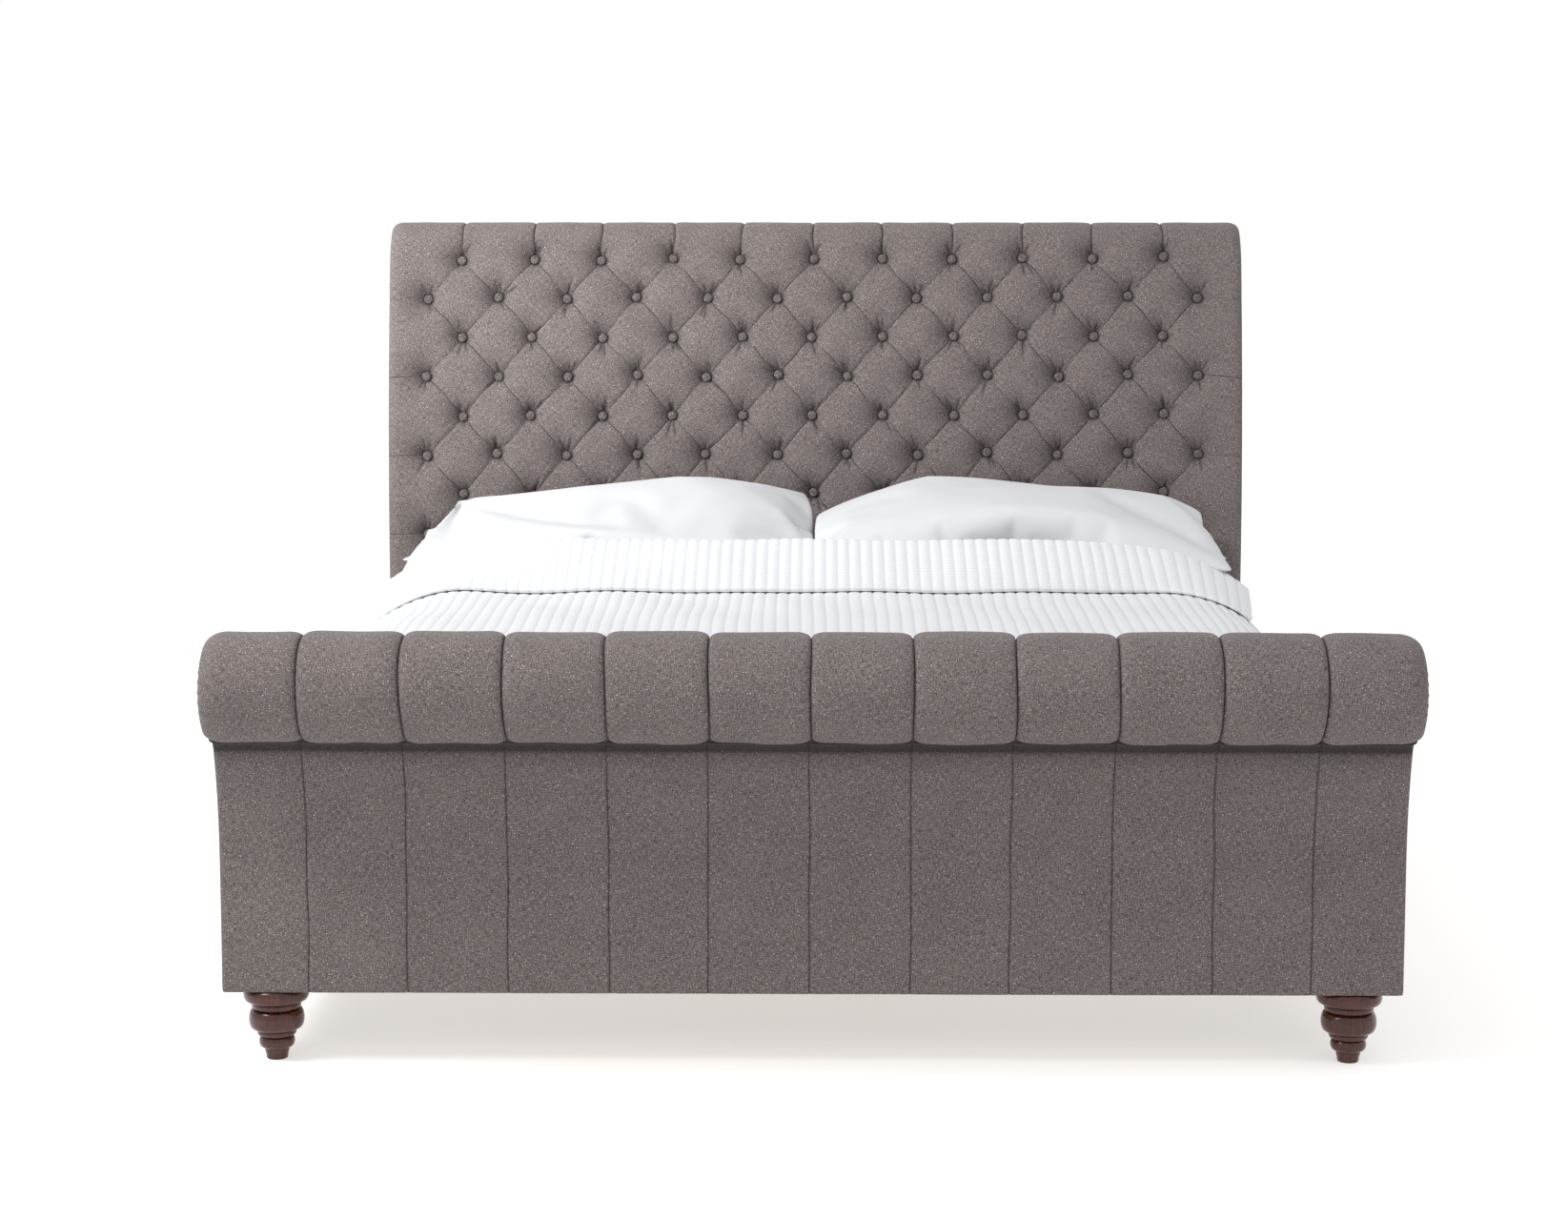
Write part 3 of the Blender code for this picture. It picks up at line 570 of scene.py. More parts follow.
ROLL_PAD_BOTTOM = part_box("footboard_roll_pad")[0].z
END_ZONE = 0.045                 # from here to its end a pad's fabric runs on round the edge


def layer(name, path, x, s, depth, material, replaces, shade=None, tufts=None):
    """A closed padded layer: an outer surface on a grid of x and s, and the surface it is glued to.

    The arrays x, s and depth have rows along s and columns along x."""
    rows, columns = depth.shape
    outer = path.world(x, s, depth)
    ends = np.stack([x[:, 0], x[:, -1]], 1)
    along = np.stack([s[:, 0], s[:, -1]], 1)
    inner = path.world(ends, along, path.padding(along))
    first = rows * columns
    faces = quads(rows, columns) + quads(rows, 2, first)
    for side, column in ((0, 0), (1, columns - 1)):
        for row in range(rows - 1):
            faces.append([row * columns + column, (row + 1) * columns + column,
                          first + 2 * (row + 1) + side, first + 2 * row + side])
    for row in (0, rows - 1):
        rim = [row * columns + column for column in range(columns)]
        faces.append(rim + [first + 2 * row + 1, first + 2 * row])
    points = np.concatenate([outer.reshape(-1, 3), inner.reshape(-1, 3)])
    turned = np.zeros_like(depth)
    left, right = np.searchsorted(x[0], (END_ZONE - HALF_WIDTH, HALF_WIDTH - END_ZONE))
    turned[:, :left] = -np.maximum(depth[:, :left] - depth[:, left:left + 1], 0)
    turned[:, right:] = np.maximum(depth[:, right:] - depth[:, right - 1:right], 0)
    side = path.padding(along) - np.stack([depth[:, 0], depth[:, -1]], 1)
    side = side * (-1, 1) + np.stack([turned[:, 0], turned[:, -1]], 1)
    cloth = np.concatenate([np.stack([x + turned, s], -1).reshape(-1, 2),
                            np.stack([ends + side, along], -1).reshape(-1, 2)])
    if shade is not None:
        shade = np.concatenate([shade.ravel(), np.zeros(2 * rows)])
    if tufts is not None:
        tufts = np.concatenate([tufts.reshape(-1, 2), np.full((2 * rows, 2), 0.5)])
    make_piece(name, points, faces, material, replaces=replaces, cloth=cloth, tufts=tufts,
               shade=shade)


def rounded_end(x, radius):
    """0 along the width, rising to 1 at the very ends on a quarter circle."""
    into = np.clip((np.abs(x) - (HALF_WIDTH - radius)) / radius, 0, 1)
    return 1 - np.sqrt(1 - into ** 2)


# ---------------------------------------------------------------- tufted headboard

TUFT_PITCH = 0.1695              # between buttons in a row
ROW_PITCH = 0.095                # between rows, along the fabric
TUFT_ROWS = 8
TOP_ROW_HEIGHT = 1.32
TUFT_STEPS = 48                  # grid steps to a pitch, so that every fold runs through grid points
TUFT_REACH = 5.5 * TUFT_PITCH    # the outermost buttons of the longer rows
FOLD_GRADIENT = math.hypot(1 / TUFT_PITCH, 1 / (2 * ROW_PITCH))
BUTTON_RADIUS = 0.0108


def button_places(top):
    """(row, x, s) of every button."""
    places = []
    for row in range(TUFT_ROWS):
        count = 12 if row % 2 else 11
        for index in range(count):
            places.append((row, (index - (count - 1) / 2) * TUFT_PITCH, top - row * ROW_PITCH))
    return places


def shoulder(distance, reach, power):
    """The soft shoulder beside a fold or seam: 1 on it, 0 once a reach away from it."""
    return (1 - np.minimum(distance / reach, 1)) ** power


class Tufting:
    """Depth of the diamond tufting at a place on the headboard's fabric."""

    base, crown, dimple, crease = 0.002, 0.0014, 0.0170, 0.0024          # depths
    dimple_width, crease_width, pucker_width = 0.023, 0.0022, 0.0032
    # Painted shade round every button: a dark ring at its rim and a softer halo
    button_shades = ((0.97, 0.0168, 8), (0.45, 0.026, 2))      # strength, width and power of each

    def __init__(self, path):
        self.path = path
        self.top = path.at_height(TOP_ROW_HEIGHT)
        self.bottom = self.top - (TUFT_ROWS - 1) * ROW_PITCH
        self.buttons = button_places(self.top)
        self.warp_x, self.warp_s = Ripple(3, 0.30), Ripple(4, 0.26)
        self.loose = Ripple(8, 0.11)
        self.bend_x, self.bend_s = Ripple(5, 0.11), Ripple(6, 0.12)
        chance = random.Random(21)
        self.puckers = []
        for _, x, s in self.buttons:
            for _ in range(chance.choice((3, 4, 4, 5))):
                turn = chance.choice((1, 1, -1)) * math.pi / 2 + chance.gauss(0, 0.34)
                length, size = chance.uniform(0.034, 0.066), chance.uniform(0.0014, 0.0030)
                self.puckers.append((x, s, turn, length, size))

    def lattice(self, x, s):
        """Coordinates whose whole numbers are the folds. Past the outer buttons a fold runs straight
        out to the edge, and the two bottom corners have none."""
        across = np.clip(x, -TUFT_REACH, TUFT_REACH) / TUFT_PITCH
        up = (np.clip(s, self.bottom, self.top) - self.top) / (2 * ROW_PITCH)
        clear = np.minimum(np.abs(x) - TUFT_REACH, self.bottom - s) * FOLD_GRADIENT
        corner = np.clip(clear, 0, 0.5)
        return across + up + corner, across - up + corner

    def moved(self, x, s):
        """Hand work is never quite regular: the grid wanders by some millimetres, lies a little to the
        left, and is drawn in from the sides and up, all of it less towards the edges."""
        hold = smoothstep(0, 0.08, HALF_WIDTH - np.abs(x)) * smoothstep(0, 0.06, s)
        hold = hold * smoothstep(0, 0.06, self.path.length - s)
        right = x / HALF_WIDTH
        wander_x = 0.0028 * self.warp_x(x, s) + 0.0022 * self.bend_x(x, s)
        wander_s = 0.0028 * self.warp_s(x, s) + 0.0022 * self.bend_s(x, s)
        return (x + 0.006 * right + hold * (wander_x - 0.0055 - 0.0115 * right),
                s + hold * (wander_s + 0.0045 + 0.0035 * right))

    def depth(self, x, s):
        """Depth and painted shade at a grid of places."""
        u, v = self.lattice(x, s)
        fold_u = np.abs(u - np.rint(u)) / FOLD_GRADIENT
        fold_v = np.abs(v - np.rint(v)) / FOLD_GRADIENT
        rise = (1 - shoulder(fold_u, 0.020, 2.6)) * (1 - shoulder(fold_v, 0.020, 2.6))
        margin = smoothstep(TUFT_REACH, TUFT_REACH + 0.05, np.abs(x))
        rise = rise + (1 - rise) * 0.72 * margin
        scroll = smoothstep(self.top, self.top + 0.07, s)
        nearest = np.minimum(fold_u, fold_v)
        depth = self.base + self.crown * (1 - rise) * (1 - 0.35 * scroll)
        crease = self.crease * bell(nearest, self.crease_width, 1)
        depth = depth + crease * (1 - 0.5 * margin) * (1 + 0.9 * scroll)
        shade = np.zeros_like(depth)
        for _, button_x, button_s in self.buttons:
            near, right, up = self.around(x, s, button_x, button_s, 0.16)
            away = np.hypot(right, up)
            depth[near] += self.hollow(away)
            # Painted shade: darker on the side of each dimple away from the key light, to the left and above
            shaded = 0.5 + 0.5 * (-0.85 * right + 0.50 * up) / np.maximum(away, 0.001)
            dark = [strength * bell(away, width, power) for strength, width, power in self.button_shades]
            dark.append(0.80 * shaded ** 1.3 * bell(away, 0.050, 1.4))
            shade[near] = np.maximum.reduce([shade[near], *dark])
        for button_x, button_s, turn, length, size in self.puckers:
            near, right, up = self.around(x, s, button_x, button_s, 0.06)
            along = right * math.cos(turn) + up * math.sin(turn)
            across = -right * math.sin(turn) + up * math.cos(turn)
            line = bell(across, self.pucker_width) * smoothstep(0.006, 0.014, along)
            line = line * (1 - smoothstep(length * 0.5, length, along))
            depth[near] += size * line
            # Painted shade along each pucker
            shade[near] = np.maximum(shade[near], 0.90 * line)
        depth = depth + 0.0006 * self.loose(x, s)
        room = self.path.padding(s)
        depth = depth * (0.35 + 0.65 * room / self.path.board.front_depth)
        ends = rounded_end(x, 0.026) * (0.34 + 0.25 * scroll) * room
        return np.minimum(depth + ends, 0.93 * room), shade

    def hollow(self, away):
        """How much deeper the fabric lies at a distance from a button."""
        return self.dimple * bell(away, self.dimple_width, 1.25)

    @staticmethod
    def around(x, s, centre_x, centre_s, reach):
        """The block of the grid within reach of a centre, and its places measured from that centre."""
        columns = np.flatnonzero(np.abs(x[0] - centre_x) < reach)
        rows = np.flatnonzero(np.abs(s[:, 0] - centre_s) < reach)
        near = slice(rows[0], rows[-1] + 1), slice(columns[0], columns[-1] + 1)
        return near, x[near] - centre_x, s[near] - centre_s


def with_ends(values, low, high, clearance=0.0012):
    """Sorted grid lines between two limits, with the limits themselves added."""
    inside = [value for value in values if low + clearance < value < high - clearance]
    return np.array([low, *inside, high])


def tufted_headboard(fabric, button_fabric):
    """The tufted pad from the lower panel up and over the scroll, with its rows of buttons."""
    path = HEADBOARD.path(("inner", "bend", "roll"), low=TUFTING_BOTTOM)
    tufting = Tufting(path)
    step_x, step_s = TUFT_PITCH / TUFT_STEPS, 2 * ROW_PITCH / TUFT_STEPS
    reach = range(-400, 401)
    columns = with_ends([index * step_x for index in reach], -HALF_WIDTH, HALF_WIDTH)
    rows = with_ends([tufting.top + index * step_s for index in reach], 0, path.length)
    x, s = np.meshgrid(columns, rows)
    depth, shade = tufting.depth(x, s)
    lattice = np.stack(tufting.lattice(x, s), -1)
    lattice = np.where(np.abs(x[..., None]) > TUFT_REACH + 0.002, faded_pleat(lattice), lattice)
    moved_x, moved_s = tufting.moved(x, s)
    layer("headboard_tufting", path, moved_x, moved_s, depth, fabric, ["headboard_tufted_pad"],
          shade, lattice)
    for row in range(TUFT_ROWS):
        buttons_of_row(row, tufting, button_fabric)


def faded_pleat(lattice):
    """The folds that run out to the side edges are fainter: their painted crease shade is drawn thinner."""
    nearest = np.rint(lattice)
    away = lattice - nearest
    return nearest + np.sign(away) * np.minimum(np.abs(away) * 1.6 + 0.004, 0.5)


def buttons_of_row(row, tufting, fabric):
    """Fabric covered buttons, each pulled into its dimple."""
    radius, height, stem = BUTTON_RADIUS, 0.0052, -0.004
    profile = [(0, height)]
    for step in range(1, 8):
        turn = math.pi / 2 * step / 7
        profile.append((radius * math.sin(turn) ** 0.85, height * math.cos(turn) ** 0.6))
    profile += [(radius, -0.0015), (radius * 0.86, stem), (0, stem)]
    # Painted shade on the button's rim, where it sits in the fabric
    shade = [0.0] * 6 + [0.10, 0.75, 0.95, 0.95, 0.95]         # dark where it meets the fabric
    depth = tufting.base + tufting.crown + tufting.hollow(radius)
    places = []
    for _, x, s in (place for place in tufting.buttons if place[0] == row):
        point_x, point_s = np.array([[x]]), np.array([[s]])
        moved_x, moved_s = tufting.moved(point_x, point_s)
        centre = tufting.path.world(moved_x, moved_s, np.array([[depth - 0.0010]]))[0, 0]
        chance = random.Random(round(1000 * (x + 3 * s)))
        tilt = Vector((chance.gauss(0, 0.05), 0, chance.gauss(0, 0.05)))
        places.append((centre, tufting.path.direction(float(moved_s[0, 0])) + tilt))
    turned_group(f"tufting_buttons_row_{row + 1}", profile, 28, places, fabric,
                 cloth=True, shade=shade)


# ---------------------------------------------------------------- flat panels of both boards

def plain_panel(name, path, fabric, node, seed):
    """Fabric stretched over thin wadding: nearly flat, softened at its edges."""
    spacing = margin = 0.012
    edge = np.linspace(HALF_WIDTH - margin, HALF_WIDTH, 5)[1:]
    middle = np.linspace(margin - HALF_WIDTH, HALF_WIDTH - margin, 150)
    columns = np.concatenate([-edge[::-1], middle, edge])
    rows = np.linspace(0, path.length, max(6, round(path.length / spacing)))
    rows = np.unique(np.concatenate([rows, [0.002, 0.006, path.length - 0.006, path.length - 0.002]]))
    x, s = np.meshgrid(columns, rows)
    ends = np.minimum(s, path.length - s)
    depth = 0.0012 + 0.0010 * Ripple(seed, 0.35)(x, s) * smoothstep(0, 0.05, ends)
    depth = depth + 0.0045 * (rounded_end(x, 0.010) + (1 - smoothstep(0, 0.008, ends)) * 0.6)
    layer(name, path, x, s, depth, fabric, [node])


# ---------------------------------------------------------------- footboard

CHANNELS = 12
CHANNEL_PITCH = 2 * HALF_WIDTH / CHANNELS


def channel_columns(steps):
    """Grid lines across the footboard, crowded towards the seams."""
    part = np.arange(steps) / steps
    eased = part - 0.78 * np.sin(2 * math.pi * part) / (2 * math.pi)
    lines = [-HALF_WIDTH + CHANNEL_PITCH * (channel + value) for channel in range(CHANNELS)
             for value in eased]
    return np.array(lines + [HALF_WIDTH])


def seam_distance(x):
    """Distance to the nearest seam between two channels; the two ends are not seams."""
    nearest = np.clip(np.rint((x + HALF_WIDTH) / CHANNEL_PITCH), 1, CHANNELS - 1)
    return np.abs(x - (nearest * CHANNEL_PITCH - HALF_WIDTH)), nearest


def footboard_roll(fabric):
    """The channelled roll: twelve plump channels that end in a soft lip under the roll.

    The seams sway a little over the crest, as they do where padding is pulled tight."""
    path = FOOTBOARD.path(("inner", "bend", "roll"), low=ROLL_PAD_BOTTOM)
    rows = np.concatenate([np.arange(0, path.length - 0.03, 0.0048),
                           np.linspace(path.length - 0.03, path.length, 14)])
    x, s = np.meshgrid(channel_columns(38), rows)
    away, seam = seam_distance(x)
    channel = np.floor((x + HALF_WIDTH) / CHANNEL_PITCH + 1e-9)
    room = path.padding(s)
    to_end = path.length - s
    plump = 0.0010 * np.sin(channel * 2.4 + 1.0) + 0.0008 * Ripple(11, 0.15)(x, s)
    depth = 0.0022 + plump + 0.0075 * shoulder(away, 0.032, 3.2) + 0.0045 * bell(away, 0.0018, 1)
    lip = bell(to_end - 0.052, 0.022) * (1 - 0.45 * bell(away, 0.014, 1))
    depth = depth - 0.0030 * lip + 0.0180 * (1 - smoothstep(0.004, 0.080, to_end)) ** 1.3
    depth = depth - 0.0010 * lip * np.sin(seam * 1.7 + x * 31)
    depth = depth * (0.45 + 0.55 * room / FOOTBOARD.front_depth)
    depth = np.minimum(depth + rounded_end(x, 0.042) * 0.86 * room, 0.94 * room)
    # Painted shade: dark along each seam, and a dark band at the lip's end where the roll meets the front
    # panel
    shade = np.minimum(0.78 * bell(away, 0.0017) + 0.9 * bell(to_end, 0.012, 3), 1)
    hold = smoothstep(0, 0.06, HALF_WIDTH - np.abs(x))
    crest = np.sin(math.pi * np.clip((s - 0.30 * path.length) / (0.66 * path.length), 0, 1))
    sway = hold * (0.0016 * Ripple(13, 0.22)(seam, s) + 0.0075 * crest * (x / HALF_WIDTH - 0.15))
    layer("footboard_roll", path, x + sway, s, depth, fabric, ["footboard_roll_pad"], shade)


def footboard_front(fabric):
    """The front panel: twelve widths of fabric, seamed edge to edge and pulled nearly flat."""
    path = FOOTBOARD.path(("fillet", "neck", "outer"))
    rows = np.linspace(0, path.length - 0.012, 64)
    rows = np.concatenate([rows, path.length - np.array([0.008, 0.004, 0])])
    x, s = np.meshgrid(channel_columns(30), rows)
    away, seam = seam_distance(x)
    ends = path.length - s
    lean = 0.0016 * np.sin(seam * 2.1) * smoothstep(0, 0.35, s)
    to_side = HALF_WIDTH - np.abs(x)
    lean = (lean + 0.0010 * Ripple(17, 0.16)(seam * 0.3, s)) * smoothstep(0, 0.05, to_side)
    lean = lean * (1 - smoothstep(0.02, 0.07, away)) + (0.018 * x - 0.004) * smoothstep(0, 0.12, to_side)
    depth = 0.0016 + 0.0010 * Ripple(19, 0.24)(x, s) + 0.0007 * shoulder(away, 0.014, 2)
    depth = depth + 0.0022 * bell(away, 0.0013, 1)
    depth = depth + 0.004 * (1 - smoothstep(0, 0.010, ends)) + 0.006 * rounded_end(x, 0.010)
    below = s - path.starts["fillet"][1]
    # Painted shade: dark seams, and a painted shadow under the roll's lip at the top of the panel
    shade = np.maximum.reduce([0.62 * bell(away, 0.0014), 0.92 * (1 - smoothstep(-0.001, 0.009, below)),
                               0.25 * (1 - smoothstep(0.002, 0.045, below))])
    layer("footboard_front", path, x + lean, s, depth, fabric, ["footboard_front_panel"], shade)


# ---------------------------------------------------------------- end facings and nail heads

NAIL_PITCH = 0.027
NAIL_INSET = 0.0085              # from the facing's edge to the row of nails
ALL_PARTS = ("inner", "bend", "roll", "fillet", "neck", "outer")


def facing_inset(path, s):
    """How far the facing's edge stays inside the outline: the pads' rounded ends lap over it."""
    return 0.94 * path.padding(s)


def round_the_roll(path, s):
    """1 along the bend and the roll, where the row of nails lies a little further in, 0 elsewhere."""
    start, end = path.starts["bend"][0], path.starts["roll"][1]
    return smoothstep(start - 0.03, start + 0.03, s) * (1 - smoothstep(end - 0.03, end + 0.03, s))


def facing(board, side, hand, fabric, metal_finish):
    """A fabric covered end piece, rounded over at its edge, with nail heads all along it."""
    path = board.path(ALL_PARTS)
    s = np.linspace(0, path.length, round(path.length / 0.008))
    inset = facing_inset(path, s)
    thickness = FACING_OUTER_X - FACING_INNER_X - 0.003
    edge = 0.004
    rings = [(0.0, 0.0), *arc((thickness - edge, edge), (edge, edge), -90, 0, 4),
             (thickness + 0.0006, 0.014), (thickness + 0.0010, 0.024)]
    points, cloth = [], []
    for out, deeper in rings:
        x = np.full_like(s, side * (FACING_INNER_X + out))
        points.append(path.world(x, s, inset + deeper))
        cloth.append(points[-1][:, 1:])
    make_piece(f"{board.name}_end_{hand}", np.concatenate(points), capped(len(rings), len(s)), fabric,
               replaces=[f"{board.name}_facing_{hand}"], cloth=np.concatenate(cloth), sharp=60)
    nail_count, end_margin = round((path.length - 0.02) / NAIL_PITCH), 0.012
    places = np.linspace(end_margin, path.length - end_margin, nail_count)
    inset = facing_inset(path, places) + NAIL_INSET + 0.0045 * round_the_roll(path, places)
    centres = path.world(np.full(nail_count, side * (FACING_INNER_X + thickness + 0.0003)), places, inset)
    dome = [(0, 0.0030), (0.0020, 0.0028), (0.0038, 0.0021), (0.0050, 0.0009), (0.0055, 0.0),
            (0.0050, -0.0006), (0, -0.0006)]
    turned_group(f"{board.name}_nails_{hand}", dome, 12, [(centre, (side, 0, 0)) for centre in centres],
                 metal_finish)


# ---------------------------------------------------------------- side rails and hardware

def rail_padding(side, hand, fabric):
    """A padded cover round the outside, top and bottom of a side rail."""
    node = f"side_rail_cover_{hand}"
    low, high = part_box(node)
    core_low, core_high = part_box(f"side_rail_{hand}")
    x_in, x_out = min(abs(low.x), abs(high.x)), max(abs(low.x), abs(high.x))
    middle, half = (low.z + high.z) / 2, (high.z - low.z) / 2
    corner, wall = 0.016, half - (core_high.z - core_low.z) / 2
    core_x = max(abs(core_low.x), abs(core_high.x))
    outer = [(x_in, half), ((x_in + x_out) / 2, half + 0.001),
             *arc((x_out - corner, half - corner), (corner, corner), 90, 0, 6)]
    for part in np.linspace(0.88, 0, 10):
        outer.append((x_out + 0.0025 * (1 - part ** 2), (half - corner) * part))
    outer += [(x, -z) for x, z in outer[-2::-1]]
    gap_x, gap_z = core_x + 0.0003, half - wall + 0.0003       # the core with a clearance all round
    profile = np.array(outer + [(x_in, -gap_z), (gap_x, -gap_z), (gap_x, gap_z), (x_in, gap_z)])
    along = run_lengths(profile)
    stations = np.linspace(low.y, high.y, 110)
    ripple = Ripple(23 if side < 0 else 24, 0.4)
    puffed = slice(3, len(outer) - 3)
    points, cloth = [], []
    for y in stations:
        puff = np.zeros(len(profile))
        puff[puffed] = 0.0012 * ripple(along[puffed], y)
        y = np.full(len(profile), y)
        points.append(np.stack([side * (profile[:, 0] + puff), y, middle + profile[:, 1]], 1))
        cloth.append(np.stack([y, along], 1))
    make_piece(f"side_rail_padding_{hand}", np.concatenate(points), capped(len(stations), len(profile)),
               fabric, replaces=[node], cloth=np.concatenate(cloth))


def bolts(finish):
    """Bolts through the corner brackets and screws in the beam hangers and slats."""
    sheet = 0.003                                              # thickness of the steel
    bolt_places, screw_places = [], []
    for end, inwards in (("foot", 1), ("head", -1)):
        for side, hand in SIDES:
            low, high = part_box(f"rail_bracket_{end}_{hand}")
            rail_x = max(abs(low.x), abs(high.x)) - sheet
            face = low.y if inwards > 0 else high.y
            for z in (low.z + 0.022, high.z - 0.022):
                bolt_places.append(((side * rail_x, face + inwards * 0.045, z), (-side, 0, 0)))
                bolt_places.append(((side * (rail_x - 0.042), face + inwards * sheet, z), (0, inwards, 0)))
        low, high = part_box(f"beam_hanger_{end}")
        face = low.y if inwards > 0 else high.y
        for side, _ in SIDES:
            for z in (low.z + 0.016, high.z - 0.016):
                screw_places.append(((side * (high.x - 0.015), face + inwards * sheet, z), (0, inwards, 0)))
    for index in range(1, 11):
        low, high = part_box(f"slat_{index:02d}")
        for side, _ in SIDES:
            screw_places.append(((side * (high.x - 0.012), (low.y + high.y) / 2, high.z), (0, 0, 1)))
    head = [(0, 0.0065), (0.0058, 0.0065), (0.0064, 0.0060), (0.0065, 0.0016), (0.0100, 0.0015),
            (0.0105, 0.0010), (0.0105, 0.0), (0, 0)]
    turned_group("bracket_bolts", head, 12, bolt_places, finish)
    countersunk = [(0, 0.0010), (0.0012, 0.0011), (0.0030, 0.0009), (0.0039, 0.0003), (0.0040, 0.0),
                   (0, 0)]
    turned_group("timber_screws", countersunk, 14, screw_places, finish)


# ---------------------------------------------------------------- feet

def feet(finish):
    """Turned feet: stacked beads, mostly smaller towards a plain base, with painted shade in the quirks
    between.
    """
    beads = ((0.115, 0.026), (0.087, 0.014), (0.097, 0.036), (0.069, 0.012), (0.0626, 0.022))
    neck, base, base_height = 0.0223, 0.0180, 0.020            # the beads are (diameter, height)
    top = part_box("foot_front_left")[1].z
    unit = top / (sum(height for _, height in beads) + base_height)
    # shade holds the painted shade of each profile point: dark in the quirks, under the top and at the base
    profile, shade = [(0, top), (0.050, top)], [0.6, 0.6]
    height = top
    for diameter, tall in beads:
        tall *= unit
        round_off = min(tall / 2, 0.012)
        quirk = diameter / 2 - round_off * 0.82
        for step in range(13):
            turn = math.pi * step / 12
            radius = quirk + (diameter / 2 - quirk) * math.sin(turn) ** 0.75
            profile.append((radius, height - tall * (1 - math.cos(turn)) / 2))
            shade.append(max(0.0, 1 - 2.2 * math.sin(turn)))
        height -= tall
    profile += [(neck, height - 0.001), (neck - 0.001, height * 0.7), (base + 0.001, 0.006),
                (base + 0.0012, 0.003), (base, 0.0), (0, 0.0)]
    shade += [0.5, 0.0, 0.0, 0.1, 0.3, 0.5]
    for end in ("front", "back"):
        for _, hand in SIDES:
            node = f"foot_{end}_{hand}"
            turned_group(f"turned_{node}", profile, 48, [upright(node)], finish,
                         replaces=[node], shade=shade)


def upright(node):
    """The place of an upright turned piece on the floor, under the middle of a node."""
    low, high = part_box(node)
    return ((low.x + high.x) / 2, (low.y + high.y) / 2, 0), (0, 0, 1)


def levellers(finish):
    """Screw levellers: a disc with a rounded edge, a low round collar and a threaded stem."""
    stem, thread_root, pitch, collar_top = 0.0048, 0.0042, 0.0015, 0.0120
    for end in ("front", "back"):
        node = f"leveller_{end}"
        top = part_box(node)[1].z
        profile = [(0, top), (stem - 0.001, top), (stem, top - 0.001)]
        for turn in range(int((top - collar_top - pitch) / pitch)):
            z = top - 0.001 - turn * pitch
            profile += [(stem, z - pitch * 0.25), (thread_root, z - pitch * 0.75)]
        profile += [(stem, collar_top), (0.0085, collar_top), (0.0090, 0.0115), (0.0090, 0.0085)]
        profile += arc((0.0145, 0.0040), (0.0035, 0.0045), 90, 0, 5)
        profile += [(0.0178, 0.002), (0.0165, 0.0), (0, 0.0)]
        turned_group(f"screw_{node}", profile, 40, [upright(node)], finish,
                     body=f"{end}_leveller", replaces=[node])


# ---------------------------------------------------------------- mattress

def rounded_rectangle(half_x, half_y, radius, spacing):
    """Points round a rectangle with round corners, evenly spaced."""
    corners, steps = [], max(6, round(radius * math.pi / 2 / spacing))
    for quarter, (sign_x, sign_y) in enumerate(((1, 1), (-1, 1), (-1, -1), (1, -1))):
        centre = (sign_x * (half_x - radius), sign_y * (half_y - radius))
        corners.append(arc(centre, (radius, radius), 90 * quarter, 90 * (quarter + 1), steps))
    points = []
    for index, corner in enumerate(corners):
        points += corner
        start, end = np.array(corner[-1]), np.array(corners[(index + 1) % 4][0])
        count = round(np.linalg.norm(end - start) / spacing)
        points += [tuple(start + (end - start) * step / count) for step in range(1, count)]
    return np.array(points)


MATTRESS_LOW, MATTRESS_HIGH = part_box("mattress")
SHOULDER_X, SHOULDER_Z = 0.225, 0.138       # how far the mattress's soft top edge reaches in and down


def crown_drop(x):
    """How far the top of the mattress has sunk, towards its long sides."""
    into = np.clip((np.abs(x) - (MATTRESS_HIGH.x - SHOULDER_X)) / SHOULDER_X, 0, 1)
    return SHOULDER_Z * (1 - np.sqrt(np.maximum(1 - into ** 2, 0)))


def mattress(fabric):
    """A deep mattress with a soft top, piped edges and ribbed sides."""
    middle = (MATTRESS_LOW + MATTRESS_HIGH) / 2
    half = (MATTRESS_HIGH - MATTRESS_LOW) / 2
    height = MATTRESS_HIGH.z - MATTRESS_LOW.z
    side_bottom, side_top = 0.012, height - SHOULDER_Z
    levels = [(0.030, 0.0), (0.006, 0.003), (0.0, side_bottom)]      # (inset, height over the underside)
    levels += [(-0.0015 * math.sin(math.pi * part), side_bottom + (side_top - side_bottom) * part)
               for part in np.linspace(0.08, 0.92, 9)]
    levels += arc((SHOULDER_X, side_top), (-SHOULDER_X, SHOULDER_Z), 0, 90, 12)
    levels += [(inset, height) for inset in (0.30, 0.45, 0.60, 0.80, 0.93)]
    ring = rounded_rectangle(half.x, half.y, 0.09, 0.016)
    count = len(ring)
    direction = ring / np.linalg.norm(ring, axis=1)[:, None]
    ribs = 0.0015 * np.abs(np.sin(np.arange(count) * math.pi / 6)) ** 0.5
    points = []
    for inset, z in levels:
        scale = np.array([(half.x - inset) / half.x, (half.y - inset) / half.y])
        ribbed = 1 if side_bottom < z < side_top else 0
        flat = ring * scale + direction * ribs[:, None] * ribbed
        points.append(np.column_stack([flat, np.full(count, z)]))
    points = np.concatenate(points) + np.array([middle.x, middle.y, MATTRESS_LOW.z])
    made = make_piece("mattress_cover", points, capped(len(levels), count), fabric,
                      "made_mattress", ["mattress"])
    for name, z in (("lower", 0.014), ("upper", side_top)):
        piping(f"mattress_piping_{name}", ring * (1 + 0.0015 / half.x), 0.0042,
               Vector((middle.x, middle.y, MATTRESS_LOW.z + z)), fabric)


